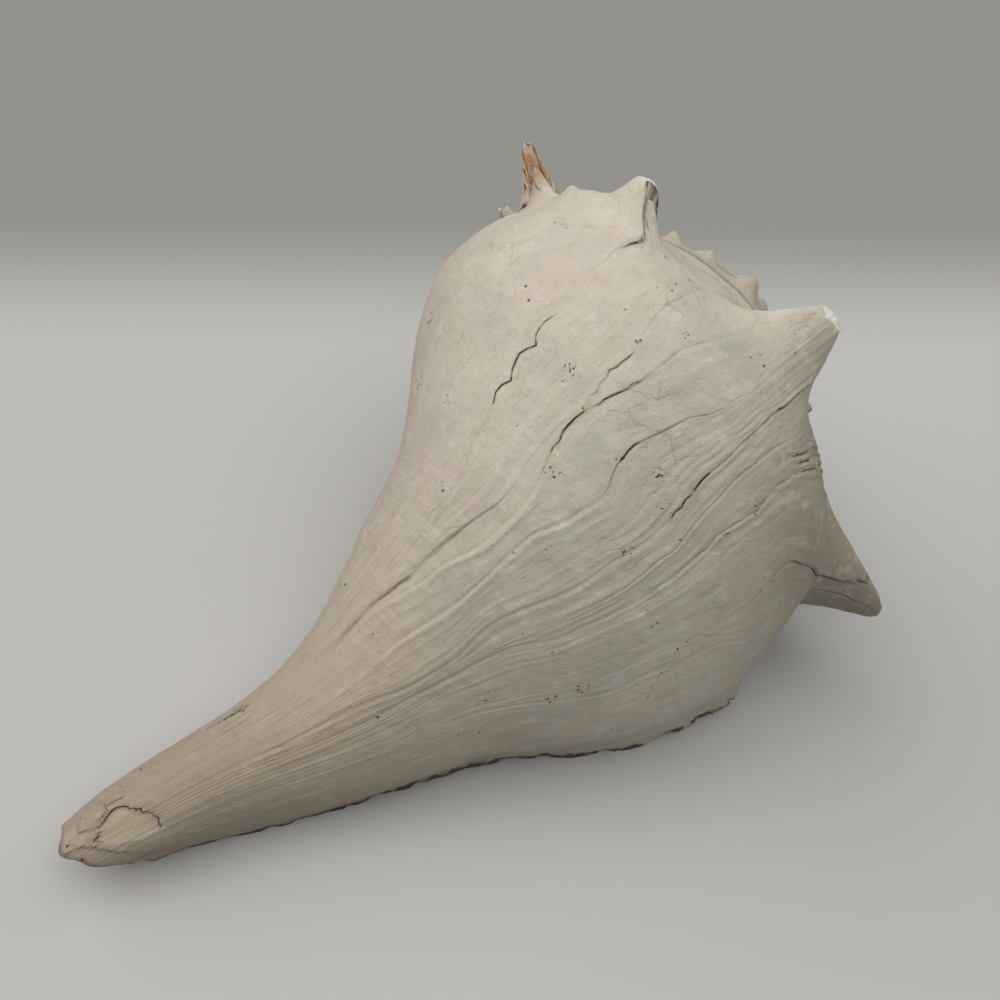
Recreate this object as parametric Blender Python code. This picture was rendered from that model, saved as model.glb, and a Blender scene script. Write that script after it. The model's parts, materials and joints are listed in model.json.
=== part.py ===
"""A left-handed whelk shell, lying on the opening that the animal lived behind.

The whole shell follows one rule: a single outline, swept round a straight axis, grows by the
same factor on every turn. A place on the shell is given by two numbers.

    turn   how many turns before the finished lip that stretch was grown: 0 at the lip itself
    along  where it sits on the outline: 0 at the suture, through the shoulder, 1 at the canal tip

The shell is one closed solid: outer wall, rolled lip, hollow mouth with its open canal, and the
low spire with the older whorls. Units are metres, +Z is up and +Y runs towards the apex.
"""
import math

import bmesh
import bpy
import numpy as np

# ---------------------------------------------------------------- driving dimensions
AXIS_LENGTH = 0.270      # from the apex to the canal tip, along the coiling axis
GROWTH = 1.74            # each turn is this many times larger than the one before it
SPIRE_STEEPNESS = 1.25   # above 1 the older whorls sit higher than a plain spiral puts them
LIP_ANGLE = 128.0        # degrees round the axis from straight up to the lip
CANAL_TWIST = 21.0       # degrees that the lip curls further under along the canal
AXIS_TILT = 16.6         # degrees that the apex end is raised when the shell lies at rest
AXIS_ROLL = -0.9         # degrees that the shell rolls towards its lip side at rest
WALL = 0.0030            # thickness of the shell
SUTURE = 0.22            # place along the older whorl where the next whorl is attached
CORNER = 0.026           # width along the outline that the wall takes up inside the suture
MOUTH_DEPTH = 0.46       # turns that the hollow runs in behind the lip
LIP_BULGE = 0.45         # how far the rounded lip edge stands out, in wall thicknesses
CONTACT = 0.0010         # height worn off the points that the shell lies on

# The canal, in axis lengths: how far it leaves the coiling axis (across, up), how far its end
# curls back, how much of its radius it loses where it is the floor of the opening, and the end,
# which is cut on a slant (middle, slope, and the turn where it reaches furthest).
CANAL_SHIFT = (0.026, -0.064)
CANAL_HOOK = (-0.100, 0.080)
CANAL_FLOOR = 0.58
CANAL_END = (0.006, 0.030, 0.50)

# How the shell grows: share of the full growth that is kept at the canal tip by the radius, and
# by the drop below the apex.
CANAL_GROWTH = (0.21, 0.05)

# Stretches of the outline over which a change comes in, from nothing to all of it.
ON_CANAL = (0.25, 1.0)
BELOW_SUTURE = (SUTURE, 0.85)
TWIST_SPAN = (0.50, 1.0)
BEND_SPAN = (0.35, 1.1)
HOOK_SPAN = (0.72, 1.05)
FLOOR_SPAN = (0.42, 0.75)
END_SPAN = (0.85, 1.0)
FLOOR_TURNS = (0.74, 1.04)  # the same for the floor of the opening, in turns

# Outline at the lip: place along it, radius, distance below the apex, in axis lengths.
OUTLINE = (
    (0.08, 0.255, 0.181),
    (0.16, 0.292, 0.212),
    (0.24, 0.338, 0.266),
    (0.40, 0.336, 0.360),
    (0.55, 0.256, 0.500),
    (0.70, 0.135, 0.660),
    (0.85, 0.067, 0.832),
    (1.00, 0.041, 1.004),
)
SHOULDER = 0.155         # place along the outline that carries the spines

# Spines of the last whorl: turn, reach in axis lengths, degrees that they lean to the apex.
SPINES = (
    (0.045, 0.116, -7.0),
    (0.145, 0.004, 30.0),
    (0.234, 0.094, 55.0),
    (0.370, 0.074, 52.0),
    (0.428, 0.022, 40.0),
    (0.484, 0.112, 28.0),
    (0.552, 0.100, 3.0),
    (0.690, 0.080, 20.0),
    (0.800, 0.180, 8.0),
    (0.915, 0.055, 35.0),
)
SPINE_WIDTH = (0.030, 0.045)    # turns and outline that a spine takes up

# Knobs on the older whorls: the first one's turn, turns to the next, reach, lean, and widths.
KNOB_FIRST = 1.0225
KNOB_PITCH = 0.0625
KNOB_LAST = 3.2
KNOB_REACH = 0.058
KNOB_LEAN = 40.0
KNOB_WIDTH = (0.021, 0.040)

# Broad swellings of the last whorl: turn, along, height, and how far each one reaches.
SWELLS = (
    (0.52, 0.43, 0.010, 0.14, 0.07),
    (0.51, 0.585, -0.028, 0.14, 0.065),
    (0.60, 0.90, 0.012, 0.15, 0.12),
    (0.12, 0.17, -0.012, 0.08, 0.08),
    (0.00, 0.30, -0.044, 0.11, 0.11),
    (0.00, 0.58, 0.030, 0.10, 0.11),
    (0.80, 0.34, 0.052, 0.15, 0.22),
    (0.00, 0.93, 0.023, 0.07, 0.14),
    (0.00, 0.43, 0.012, 0.07, 0.08),
)

# The lip is not straight: place along the outline, turns that it has grown past the section.
LIP_EDGE = (
    (0.0, 0.0),
    (0.18, 0.004),
    (0.30, 0.020),
    (0.50, 0.0),
    (0.60, 0.0),
    (0.78, 0.002),
    (1.0, -0.005),
)
LIP_SPAN = (0.0, 0.25)          # turns over which the uneven lip fades into the plain sections

COLUMNS = (56, 64, 48, 18, 14)  # sections in each turn, from the lip inwards
RAMP_ROWS = (0.0, 0.035, 0.075, 0.115, 0.155, 0.19)
BODY_ROWS = (0.30, 0.36, 0.42, 0.49, 0.56, 0.63, 0.70, 0.78, 0.86, 0.93, 1.0)
POCKET_COLUMNS = 14             # sections from the lip to the blind end of the opening
FOOT_BLEND = 0.10               # width along the outline where a whorl takes on the one it covers
STEP = 0.002                    # small step used to measure a direction on the surface
COLOUR = (0.70, 0.66, 0.58)


# ---------------------------------------------------------------- the growth rule
def ease(low, high, x):
    """0 below low, 1 above high, and an even S between them."""
    t = np.clip((np.asarray(x, float) - low) / (high - low), 0.0, 1.0)
    return t * t * (3.0 - 2.0 * t)


def through(knots, values, x):
    """A smooth curve through the given points, read at x."""
    knots, values = np.asarray(knots, float), np.asarray(values, float)
    slopes = np.diff(values) / np.diff(knots)
    gaps = np.diff(knots)
    tangents = np.empty_like(values)
    tangents[0], tangents[-1] = slopes[0], slopes[-1]
    tangents[1:-1] = (slopes[:-1] * gaps[1:] + slopes[1:] * gaps[:-1]) / (gaps[1:] + gaps[:-1])
    i = np.clip(np.searchsorted(knots, x) - 1, 0, len(gaps) - 1)
    t = (x - knots[i]) / gaps[i]
    left = values[i] * (2 * t**3 - 3 * t**2 + 1) + values[i + 1] * (3 * t**2 - 2 * t**3)
    bend = tangents[i] * (t**3 - 2 * t**2 + t) + tangents[i + 1] * (t**3 - t**2)
    return left + gaps[i] * bend


def outline(along):
    """Radius and drop at a place on the outline; its first point is the suture."""
    knots = [row[0] for row in OUTLINE]
    at_suture = [float(through(knots, [row[k] for row in OUTLINE], np.array(SUTURE))) for k in (1, 2)]
    first = (0.0, at_suture[0] / GROWTH, at_suture[1] / GROWTH**SPIRE_STEEPNESS)
    rows = (first,) + OUTLINE
    knots = [row[0] for row in rows]
    radius = through(knots, [row[1] for row in rows], along)
    drop = through(knots, [row[2] for row in rows], along)
    return radius, drop


def whorl(turn, along):
    """The smooth shell, without spines, in the frame of its own axis."""
    turn, along = np.broadcast_arrays(np.asarray(turn, float), np.asarray(along, float))
    radius, drop = outline(along)
    # The spire keeps its proportions as it grows; the canal only lengthens a little.
    radius_power = 1.0 - (1.0 - CANAL_GROWTH[0]) * ease(*ON_CANAL, along)
    drop_power = SPIRE_STEEPNESS - (SPIRE_STEEPNESS - CANAL_GROWTH[1]) * ease(*BELOW_SUTURE, along)
    radius = radius * GROWTH ** (-turn * radius_power)
    drop = drop * GROWTH ** (-turn * drop_power)
    for at_turn, at_along, height, turn_width, along_width in SWELLS:
        swell = np.exp(-((turn - at_turn) / turn_width)**2 - ((along - at_along) / along_width)**2)
        radius = radius + height * swell
    # Past the left side the canal wall dips in, and becomes the floor of the open canal.
    radius = radius * (1.0 - CANAL_FLOOR * ease(*FLOOR_SPAN, along) * ease(*FLOOR_TURNS, turn))
    # The canal ends on a slant: the side away from the lip runs on furthest.
    middle, slope, furthest = CANAL_END
    drop = drop + ease(*END_SPAN, along) * (middle + slope * np.cos(2 * np.pi * (turn - furthest)))
    angle = np.radians(LIP_ANGLE - 360.0 * turn + CANAL_TWIST * ease(*TWIST_SPAN, along))
    bend, hook = ease(*BEND_SPAN, along), ease(*HOOK_SPAN, along)
    x = radius * np.sin(angle) + CANAL_SHIFT[0] * bend + CANAL_HOOK[0] * hook
    z = radius * np.cos(angle) + CANAL_SHIFT[1] * bend + CANAL_HOOK[1] * hook
    return AXIS_LENGTH * np.stack([x, -drop, z], axis=-1)


def grown(turn, along):
    """The turn of a section once the uneven edge of the lip is added to it."""
    past = through([row[0] for row in LIP_EDGE], [row[1] for row in LIP_EDGE], along)
    return turn - past * (1.0 - ease(*LIP_SPAN, turn))


def spine_list():
    """Every spine and knob, from the lip back to the apex, each with its widths."""
    spines = [spine + SPINE_WIDTH for spine in SPINES]
    knobs = np.arange(KNOB_FIRST, KNOB_LAST, KNOB_PITCH)
    return spines + [(turn, KNOB_REACH, KNOB_LEAN) + KNOB_WIDTH for turn in knobs]


def spine_push(turn, along):
    """How far each place is drawn out by the spines, in the frame of the axis."""
    turn, along = np.broadcast_arrays(np.asarray(turn, float), np.asarray(along, float))
    push = np.zeros(turn.shape + (3,))
    angle = np.radians(LIP_ANGLE - 360.0 * turn)
    for at_turn, reach, lean, turn_width, along_width in spine_list():
        shape = np.exp(-((turn - at_turn) / turn_width)**2 - ((along - SHOULDER) / along_width)**2)
        size = AXIS_LENGTH * reach * GROWTH ** (-at_turn) * shape
        out = size * math.cos(math.radians(lean))
        push[..., 0] += out * np.sin(angle)
        push[..., 2] += out * np.cos(angle)
        push[..., 1] += size * math.sin(math.radians(lean))
    return push


def outer(turn, along):
    """The outside of the shell. At a suture it shares the surface of the older whorl."""
    turn, along = np.broadcast_arrays(np.asarray(turn, float), np.asarray(along, float))
    turn = grown(turn, along)
    own = ease(0.0, FOOT_BLEND, along)[..., None]
    joined = spine_push(turn + 1.0, np.full(along.shape, SUTURE))
    return whorl(turn, along) + own * spine_push(turn, along) + (1.0 - own) * joined


def inward(turn, along):
    """Unit direction from the wall towards the hollow."""
    low, high = np.clip(along - STEP, 0.0, 1.0), np.clip(along + STEP, 0.0, 1.0)
    round_axis = whorl(turn + STEP, along) - whorl(turn - STEP, along)
    down = whorl(turn, high) - whorl(turn, low)
    normal = np.cross(down, round_axis)
    return normal / np.linalg.norm(normal, axis=-1, keepdims=True)


def older_wall(turn, share):
    """The older whorl inside the mouth; share runs from the suture corner to the canal tip."""
    start = SUTURE + CORNER
    return outer(turn + 1.0, start + (1.0 - start) * share)


def inner(turn, along):
    """The inside of the outer wall, closing on the older whorl at the suture corner."""
    past = grown(turn, along)
    offset = whorl(past, along) + WALL * inward(past, along)
    own = ease(0.0, FOOT_BLEND, along)[..., None]
    return own * offset + (1.0 - own) * older_wall(turn, along)


def lay_down(points):
    """Turn the shell from its own axis to the way it lies."""
    roll, tilt = math.radians(AXIS_ROLL), math.radians(AXIS_TILT)
    x = points[..., 0] * math.cos(roll) + points[..., 2] * math.sin(roll)
    z = points[..., 2] * math.cos(roll) - points[..., 0] * math.sin(roll)
    y = points[..., 1] * math.cos(tilt) - z * math.sin(tilt)
    z = points[..., 1] * math.sin(tilt) + z * math.cos(tilt)
    return np.stack([x, y, z], axis=-1)


# ---------------------------------------------------------------- building the faces
class Skin:
    """Collects points and faces of the loft."""

    def __init__(self):
        self.points = []
        self.faces = []

    def add(self, points):
        """Store a block of points and return their numbers in the same layout."""
        flat = lay_down(points).reshape(-1, 3)
        first = len(self.points)
        self.points.extend(flat.tolist())
        return np.arange(first, first + len(flat)).reshape(points.shape[:-1])

    def sheet(self, grid):
        """Quads between the rows and columns of a grid of point numbers."""
        for a, b in zip(grid[:-1], grid[1:]):
            for j in range(len(a) - 1):
                self.faces.append((a[j], b[j], b[j + 1], a[j + 1]))

    def zip(self, left, left_at, right, right_at):
        """Triangles between two lines of points that have different counts."""
        i = j = 0
        while i < len(left) - 1 or j < len(right) - 1:
            left_next = j == len(right) - 1 or (i < len(left) - 1 and left_at[i + 1] <= right_at[j + 1])
            if left_next:
                face = (left[i], left[i + 1], right[j])
                i += 1
            else:
                face = (left[i], right[j + 1], right[j])
                j += 1
            if len(set(face)) == 3:
                self.faces.append(face)


def column_turns():
    """The turn of every section, from the lip to the apex, one on each spine of the last whorl."""
    turns = [k + i / count for k, count in enumerate(COLUMNS) for i in range(count)]
    turns = np.array(turns + [float(len(COLUMNS))])
    for at_turn, _, _ in SPINES:
        turns[np.argmin(np.abs(turns[:COLUMNS[0]] - at_turn))] = at_turn
    return turns


def spread(points):
    """Share of the way along a line of points, 0 to 1."""
    steps = np.linalg.norm(np.diff(points, axis=0), axis=1)
    total = np.concatenate([[0.0], np.cumsum(steps)])
    return total / total[-1]


def build_skin():
    skin = Skin()
    rows = np.array(RAMP_ROWS + (SUTURE, SUTURE + CORNER / 2, SUTURE + CORNER) + BODY_ROWS)
    ramp = len(RAMP_ROWS)
    corner = ramp + 2
    turns = column_turns()
    last = COLUMNS[0]

    # Outside of the last whorl, then the part of the older whorls that still shows.
    body = skin.add(outer(turns[:last + 1, None], rows[None, :]))
    skin.sheet(body)
    older = skin.add(outer(turns[last + 1:, None], rows[None, :ramp]))
    skin.sheet(np.vstack([body[-1:, :ramp], older]))
    print(f"outside: {body.size + older.size} points")

    # The suture, where the foot of each whorl meets the older one.
    final = int(np.argmin(np.abs(turns - (turns[-1] - 1.0))))
    foot = np.concatenate([body[:, 0], older[:, 0]])
    crest = np.concatenate([body[-1:, ramp - 1], older[:, ramp - 1]])
    skin.zip(foot[:final + 1], turns[:final + 1] + 1.0, crest, turns[last:])

    # The apex, closed to a point.
    tip = skin.add(np.zeros((1, 3)))[0]
    rim = list(foot[final:]) + list(older[-1, 1:]) + [foot[final]]
    for a, b in zip(rim[:-1], rim[1:]):
        skin.faces.append((a, b, tip))

    # The lip: outer edge, rounded edge, inner edge.
    edge_out = outer(np.zeros_like(rows), rows)
    edge_in = inner(np.zeros_like(rows), rows)
    edge = grown(np.zeros_like(rows), rows)
    growth = whorl(edge, rows) - whorl(edge + STEP, rows)
    growth /= np.linalg.norm(growth, axis=1, keepdims=True)
    bulge = LIP_BULGE * WALL * ease(0.0, 2 * CORNER, rows)[:, None]
    edge_mid = (edge_out + edge_in) / 2 + bulge * growth
    edge_mid[0] = outer(1.0, SUTURE + CORNER / 2)

    # The hollow of the mouth: in along the outer wall, round the blind end, out along the older.
    depths = np.linspace(0.0, MOUTH_DEPTH, POCKET_COLUMNS + 1)[1:]
    going_in = inner(depths[:, None], rows[None, :])
    coming_out = older_wall(depths[::-1, None], rows[None, :])
    mouth = skin.add(np.concatenate([edge_mid[None], edge_in[None], going_in, coming_out]))
    mouth = np.vstack([body[0], mouth])
    skin.sheet(mouth)
    print(f"mouth: {mouth.size} points")

    # The old wall where it runs from outside into the mouth.
    near, far = body[-1, corner:], mouth[-1]
    place = np.asarray(skin.points)
    skin.zip(near, spread(place[near]), far, spread(place[far]))

    # The canal tip, closed between its outer and inner edges.
    inside = np.append(mouth[:, -1], body[-1, -1])
    skin.zip(body[:, -1], spread(place[body[:, -1]]), inside, spread(place[inside]))
    return skin


# ---------------------------------------------------------------- the object
def shell_material():
    material = bpy.data.materials.new("chalky_shell")
    material.use_nodes = True
    shader = material.node_tree.nodes["Principled BSDF"]
    shader.inputs["Base Color"].default_value = COLOUR + (1.0,)
    shader.inputs["Roughness"].default_value = 0.72
    shader.inputs["Metallic"].default_value = 0.0
    return material


def wear_flat(bm):
    """Stand the shell on z = 0 and rub small flats on the points that it lies on."""
    low = min(v.co.z for v in bm.verts) + CONTACT
    geometry = bm.verts[:] + bm.edges[:] + bm.faces[:]
    bmesh.ops.bisect_plane(bm, geom=geometry, plane_co=(0, 0, low), plane_no=(0, 0, 1),
                           clear_inner=True, dist=1e-7)
    open_edges = [edge for edge in bm.edges if edge.is_boundary]
    bmesh.ops.holes_fill(bm, edges=open_edges, sides=0)
    xs = [v.co.x for v in bm.verts]
    ys = [v.co.y for v in bm.verts]
    middle = ((min(xs) + max(xs)) / 2, (min(ys) + max(ys)) / 2)
    bmesh.ops.translate(bm, vec=(-middle[0], -middle[1], -low), verts=bm.verts)


def build_shell(collection):
    skin = build_skin()
    bm = bmesh.new()
    verts = [bm.verts.new(point) for point in skin.points]
    for face in skin.faces:
        bm.faces.new([verts[i] for i in face])
    bmesh.ops.remove_doubles(bm, verts=bm.verts, dist=1e-6)
    bmesh.ops.dissolve_degenerate(bm, edges=bm.edges, dist=1e-7)
    bmesh.ops.recalc_face_normals(bm, faces=bm.faces)
    wear_flat(bm)
    bmesh.ops.triangulate(bm, faces=bm.faces)
    mesh = bpy.data.meshes.new("shell")
    bm.to_mesh(mesh)
    bm.free()
    shell = bpy.data.objects.new("shell", mesh)
    mesh.materials.append(shell_material())
    collection.objects.link(shell)
    size = [1000 * side for side in shell.dimensions]
    print(f"shell: {len(mesh.polygons)} triangles, {size[0]:.1f} x {size[1]:.1f} x {size[2]:.1f} mm")
    return shell


def main():
    for item in list(bpy.data.objects):
        bpy.data.objects.remove(item, do_unlink=True)
    collection = bpy.data.collections.new("whelk_shell")
    bpy.context.scene.collection.children.link(collection)
    build_shell(collection)


main()
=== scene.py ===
# %% [markdown]
# # A weathered lightning whelk shell
#
# This is the shell of a large sea snail that coils to the left. It has lain on a beach for years:
# the colour is gone, the surface is chalky, and the spines and the lip are chipped.
# A shell is a good first lesson in shapes that follow a rule. The animal only ever adds a strip to
# the edge of its opening, and each turn is the same shape as the one before, a fixed number of
# times larger. So the whole shell can be drawn flat, as a sheet of (turn, along), and wound up.
#
# * `turn` counts turns back from the finished lip, which is 0. Larger numbers are older shell.
# * `along` runs down the outline: 0 at the suture, through the shoulder, to 1 at the canal tip.

import json
import math
from collections import namedtuple

import bmesh
import bpy
import numpy as np
from mathutils import Matrix, Vector

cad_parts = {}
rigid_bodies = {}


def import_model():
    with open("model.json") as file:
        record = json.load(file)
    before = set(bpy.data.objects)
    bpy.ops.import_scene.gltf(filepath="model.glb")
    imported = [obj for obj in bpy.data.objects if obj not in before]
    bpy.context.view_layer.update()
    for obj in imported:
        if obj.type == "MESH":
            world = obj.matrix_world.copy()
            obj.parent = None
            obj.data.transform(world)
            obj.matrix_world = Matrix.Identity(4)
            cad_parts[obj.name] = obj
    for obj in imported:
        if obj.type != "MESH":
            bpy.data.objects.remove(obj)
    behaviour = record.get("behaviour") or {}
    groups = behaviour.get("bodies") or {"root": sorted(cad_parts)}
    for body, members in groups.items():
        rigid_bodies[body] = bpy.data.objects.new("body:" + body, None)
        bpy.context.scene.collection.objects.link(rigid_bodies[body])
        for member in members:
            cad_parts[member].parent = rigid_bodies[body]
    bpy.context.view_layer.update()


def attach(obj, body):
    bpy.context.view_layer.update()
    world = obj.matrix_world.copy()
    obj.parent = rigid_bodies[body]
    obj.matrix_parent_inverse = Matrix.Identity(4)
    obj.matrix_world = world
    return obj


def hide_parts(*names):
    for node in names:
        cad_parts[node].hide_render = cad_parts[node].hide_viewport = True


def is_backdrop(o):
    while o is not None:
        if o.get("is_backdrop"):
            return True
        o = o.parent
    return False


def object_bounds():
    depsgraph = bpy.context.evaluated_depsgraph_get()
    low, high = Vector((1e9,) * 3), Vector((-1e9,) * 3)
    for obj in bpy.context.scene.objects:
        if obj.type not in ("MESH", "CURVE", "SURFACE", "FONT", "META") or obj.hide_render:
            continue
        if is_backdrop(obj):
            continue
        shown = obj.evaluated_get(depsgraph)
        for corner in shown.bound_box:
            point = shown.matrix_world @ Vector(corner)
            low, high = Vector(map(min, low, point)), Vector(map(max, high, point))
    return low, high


for item in list(bpy.data.objects):
    bpy.data.objects.remove(item, do_unlink=True)
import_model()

# %% [markdown]
# ## Small curves that everything uses
#
# `ease` is the soft switch from 0 to 1 that modellers call smoothstep, and `bell` is a soft bump.
# `through` draws a smooth curve through a few given points, the way a flexible ruler would.
# All of them work on whole arrays at once, because the shell has tens of thousands of points.

# %% Curves
def ease(low, high, x):
    """0 below low, 1 above high, and an even S between them."""
    t = np.clip((np.asarray(x, float) - low) / (high - low), 0.0, 1.0)
    return t * t * (3.0 - 2.0 * t)


def between(start, full, hold, end, x):
    """Rises from start to full, holds, and falls from hold to end."""
    return ease(start, full, x) * (1.0 - ease(hold, end, x))


def bell(x, width, power=2):
    """1 at 0, falling away on both sides. A higher power has a flatter top and steeper sides."""
    return np.exp(-np.abs(np.asarray(x) / width) ** power)


def through(points, x, column=1):
    """A smooth curve through the points, read at x."""
    knots = np.array([p[0] for p in points], float)
    values = np.array([p[column] for p in points], float)
    gaps, slopes = np.diff(knots), np.diff(values) / np.diff(knots)
    tangents = np.empty_like(values)
    tangents[0], tangents[-1] = slopes[0], slopes[-1]
    tangents[1:-1] = (slopes[:-1] * gaps[1:] + slopes[1:] * gaps[:-1]) / (gaps[1:] + gaps[:-1])
    i = np.clip(np.searchsorted(knots, x) - 1, 0, len(gaps) - 1)
    t = (x - knots[i]) / gaps[i]
    left = values[i] * (2 * t**3 - 3 * t**2 + 1) + values[i + 1] * (3 * t**2 - 2 * t**3)
    return left + gaps[i] * (tangents[i] * (t**3 - 2 * t**2 + t) + tangents[i + 1] * (t**3 - t**2))


print("halfway through an ease:", float(ease(0, 1, 0.5)))

# %% [markdown]
# ## Noise that is the same on every run
#
# Nothing in nature is even, so the lip, the ribs and the broken edges need a little disorder.
# Python's own random numbers would do, but a wobble has to be smooth as well. A handful of sine
# waves with fixed phases gives a smooth wobble that never changes from one run to the next.

# %% Wobble
def wobble(x, pitch, seed, octaves=4):
    """A smooth, uneven curve between about -1 and 1; pitch is the length of its longest wave."""
    rng = np.random.default_rng(seed)
    total = np.zeros(np.shape(x))
    for octave in range(octaves):
        waves = 2.0 ** octave * rng.uniform(0.8, 1.25, 2)
        phases = rng.uniform(0, 2 * np.pi, 2)
        for wave, phase in zip(waves, phases):
            total = total + np.sin(2 * np.pi * wave * np.asarray(x) / pitch + phase) / 1.8**octave
    return total / 2.2


print("three wobbles:", [round(float(wobble(x, 1.0, 7)), 3) for x in (0.0, 0.3, 0.6)])

# %% [markdown]
# ## The outline that is swept
#
# If the finished lip were pressed onto paper, it would draw this outline: a sloping ramp, a sharp
# shoulder, a full belly, and then the long narrow canal. Eight points are enough, because the
# curve between them is smooth. A profile like this can also be drawn as a Bezier curve by hand;
# numbers are used here so that the sheet and the solid model agree exactly.

# %% The outline
AXIS_LENGTH = 0.270      # metres from the apex to the canal tip
GROWTH = 1.74            # each turn is this many times larger than the one before
SPIRE_STEEPNESS = 1.25   # above 1 the older turns sit higher than a plain spiral puts them
SUTURE = 0.22            # place along the older turn where the next one is attached
CORNER = 0.026           # width along the outline taken up by the wall inside the suture
SHOULDER = 0.155         # place along the outline that carries the spines

OUTLINE = (              # along, radius, drop below the apex, in axis lengths
    (0.08, 0.255, 0.181),
    (0.16, 0.292, 0.212),
    (0.24, 0.338, 0.266),
    (0.40, 0.336, 0.360),
    (0.55, 0.256, 0.500),
    (0.70, 0.135, 0.660),
    (0.85, 0.067, 0.832),
    (1.00, 0.041, 1.004),
)
first = np.array(SUTURE)
SUTURE_RADIUS = float(through(OUTLINE, first)) / GROWTH
SUTURE_DROP = float(through(OUTLINE, first, 2)) / GROWTH**SPIRE_STEEPNESS
OUTLINE = ((0.0, SUTURE_RADIUS, SUTURE_DROP),) + OUTLINE
print(f"the shoulder is {1000 * AXIS_LENGTH * OUTLINE[2][1]:.0f} mm from the axis")

# %% [markdown]
# ## Local swellings
#
# A perfect spiral looks machine-made. This animal bulged on the left, thinned in below the bulge,
# and flared its lip. Each swelling is a soft bump in the sheet: where it is, how high it is, and
# how far it reaches. They are added before the winding, so they follow the spiral.

# %% Swellings
SWELLS = (               # turn, along, height in axis lengths, reach in turns, reach along
    (0.52, 0.43, 0.010, 0.14, 0.07),
    (0.51, 0.585, -0.028, 0.14, 0.065),
    (0.60, 0.90, 0.012, 0.15, 0.12),
    (0.12, 0.17, -0.012, 0.08, 0.08),
    (0.00, 0.30, -0.044, 0.11, 0.11),
    (0.00, 0.58, 0.030, 0.10, 0.11),
    (0.80, 0.34, 0.052, 0.15, 0.22),
    (0.00, 0.93, 0.023, 0.07, 0.14),
    (0.00, 0.43, 0.012, 0.07, 0.08),
)
CANAL_FLOOR = 0.58       # share of its radius that the wall loses where it floors the opening
CANAL_END = (0.006, 0.031, 0.465)   # slant of the canal's end: middle, slope, furthest turn


def swelling(turn, along):
    total = np.zeros(np.shape(turn))
    for at_turn, at_along, height, wide, tall in SWELLS:
        total = total + height * bell(turn - at_turn, wide) * bell(along - at_along, tall)
    return total


def narrowing(turn, along):
    """Past the left side the canal wall dips in and becomes the floor of the open canal."""
    return 1.0 - CANAL_FLOOR * ease(0.42, 0.75, along) * ease(0.74, 1.04, turn)


def canal_end(turn, along):
    """The canal ends on a slant, and its end is broken unevenly."""
    middle, slope, furthest = CANAL_END
    slant = middle + slope * np.cos(2 * np.pi * (turn - furthest))
    ragged = 0.0075 * wobble(turn, 0.34, 11, 2) * ease(0.0, 0.08, turn)
    return ease(0.85, 1.0, along) * slant + ease(0.95, 1.0, along) * ragged


highest = max(swell[2] for swell in SWELLS)
print(f"{len(SWELLS)} swellings, the highest {1000 * AXIS_LENGTH * highest:.0f} mm")

# %% [markdown]
# ## Sums written as nodes
#
# Geometry Nodes can do any arithmetic, but wiring forty Math nodes by hand hides the formula.
# `Field` wraps one output socket and teaches Python's +, -, *, / and ** to add a Math node each
# time. The formula in the next cells can then be read as an ordinary sum.

# %% A socket that can be calculated with
def feed(tree, socket, value):
    """Link a Field or an output to a socket, or write a plain value into it."""
    if isinstance(value, Field):
        value = value.socket
    if isinstance(value, bpy.types.NodeSocket):
        tree.links.new(value, socket)
    else:
        socket.default_value = value


def add_node(tree, kind, inputs=None, **settings):
    """Add a node, set its options, and fill its inputs by name or number."""
    node = tree.nodes.new(kind)
    for name, value in settings.items():
        setattr(node, name, value)
    for key, value in (inputs or {}).items():
        feed(tree, node.inputs[key], value)
    return node


class Field:
    """One value that a node tree works out at every point."""

    def __init__(self, tree, socket):
        self.tree, self.socket = tree, socket

    def math(self, operation, *terms):
        node = add_node(self.tree, "ShaderNodeMath", dict(enumerate(terms)), operation=operation)
        return Field(self.tree, node.outputs[0])

    def __add__(self, other):
        return self.math("ADD", self, other)

    def __sub__(self, other):
        return self.math("SUBTRACT", self, other)

    def __rsub__(self, other):
        return self.math("SUBTRACT", other, self)

    def __mul__(self, other):
        return self.math("MULTIPLY", self, other)

    def __truediv__(self, other):
        return self.math("DIVIDE", self, other)

    def __pow__(self, other):
        return self.math("POWER", self, other)

    __radd__, __rmul__ = __add__, __mul__

    def call(self, operation, *terms):
        return self.math(operation, self, *terms)

    def eased(self, low, high, start=0.0, end=1.0):
        inputs = dict(enumerate((self, low, high, start, end)))
        node = add_node(self.tree, "ShaderNodeMapRange", inputs, interpolation_type="SMOOTHSTEP")
        return Field(self.tree, node.outputs[0])


print("sums of sockets are ready")

# %% [markdown]
# ## A tree with named sizes
#
# Every tree here starts the same way, with one named input for each size, and ends the same way:
# the points are moved, instances are made real, and the material is set where the tree has one.
# Three helpers take that up, so that a tree's own function holds only its formula.

# %% Start and finish a tree
def new_tree(name, sizes, material=False):
    """An empty Geometry Nodes tree with one named input for each size."""
    tree = bpy.data.node_groups.new(name, "GeometryNodeTree")
    tree.interface.new_socket("Geometry", in_out="INPUT", socket_type="NodeSocketGeometry")
    for label, value in sizes.items():
        socket = tree.interface.new_socket(label, in_out="INPUT", socket_type="NodeSocketFloat")
        socket.default_value = value
    if material:
        tree.interface.new_socket("Material", in_out="INPUT", socket_type="NodeSocketMaterial")
    tree.interface.new_socket("Geometry", in_out="OUTPUT", socket_type="NodeSocketGeometry")
    entry = add_node(tree, "NodeGroupInput")
    return tree, entry, {label: Field(tree, entry.outputs[label]) for label in sizes}


def named(tree, label, kind="FLOAT"):
    """A value that the points carry under a name."""
    node = add_node(tree, "GeometryNodeInputNamedAttribute", {"Name": label}, data_type=kind)
    return Field(tree, node.outputs["Attribute"])


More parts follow.
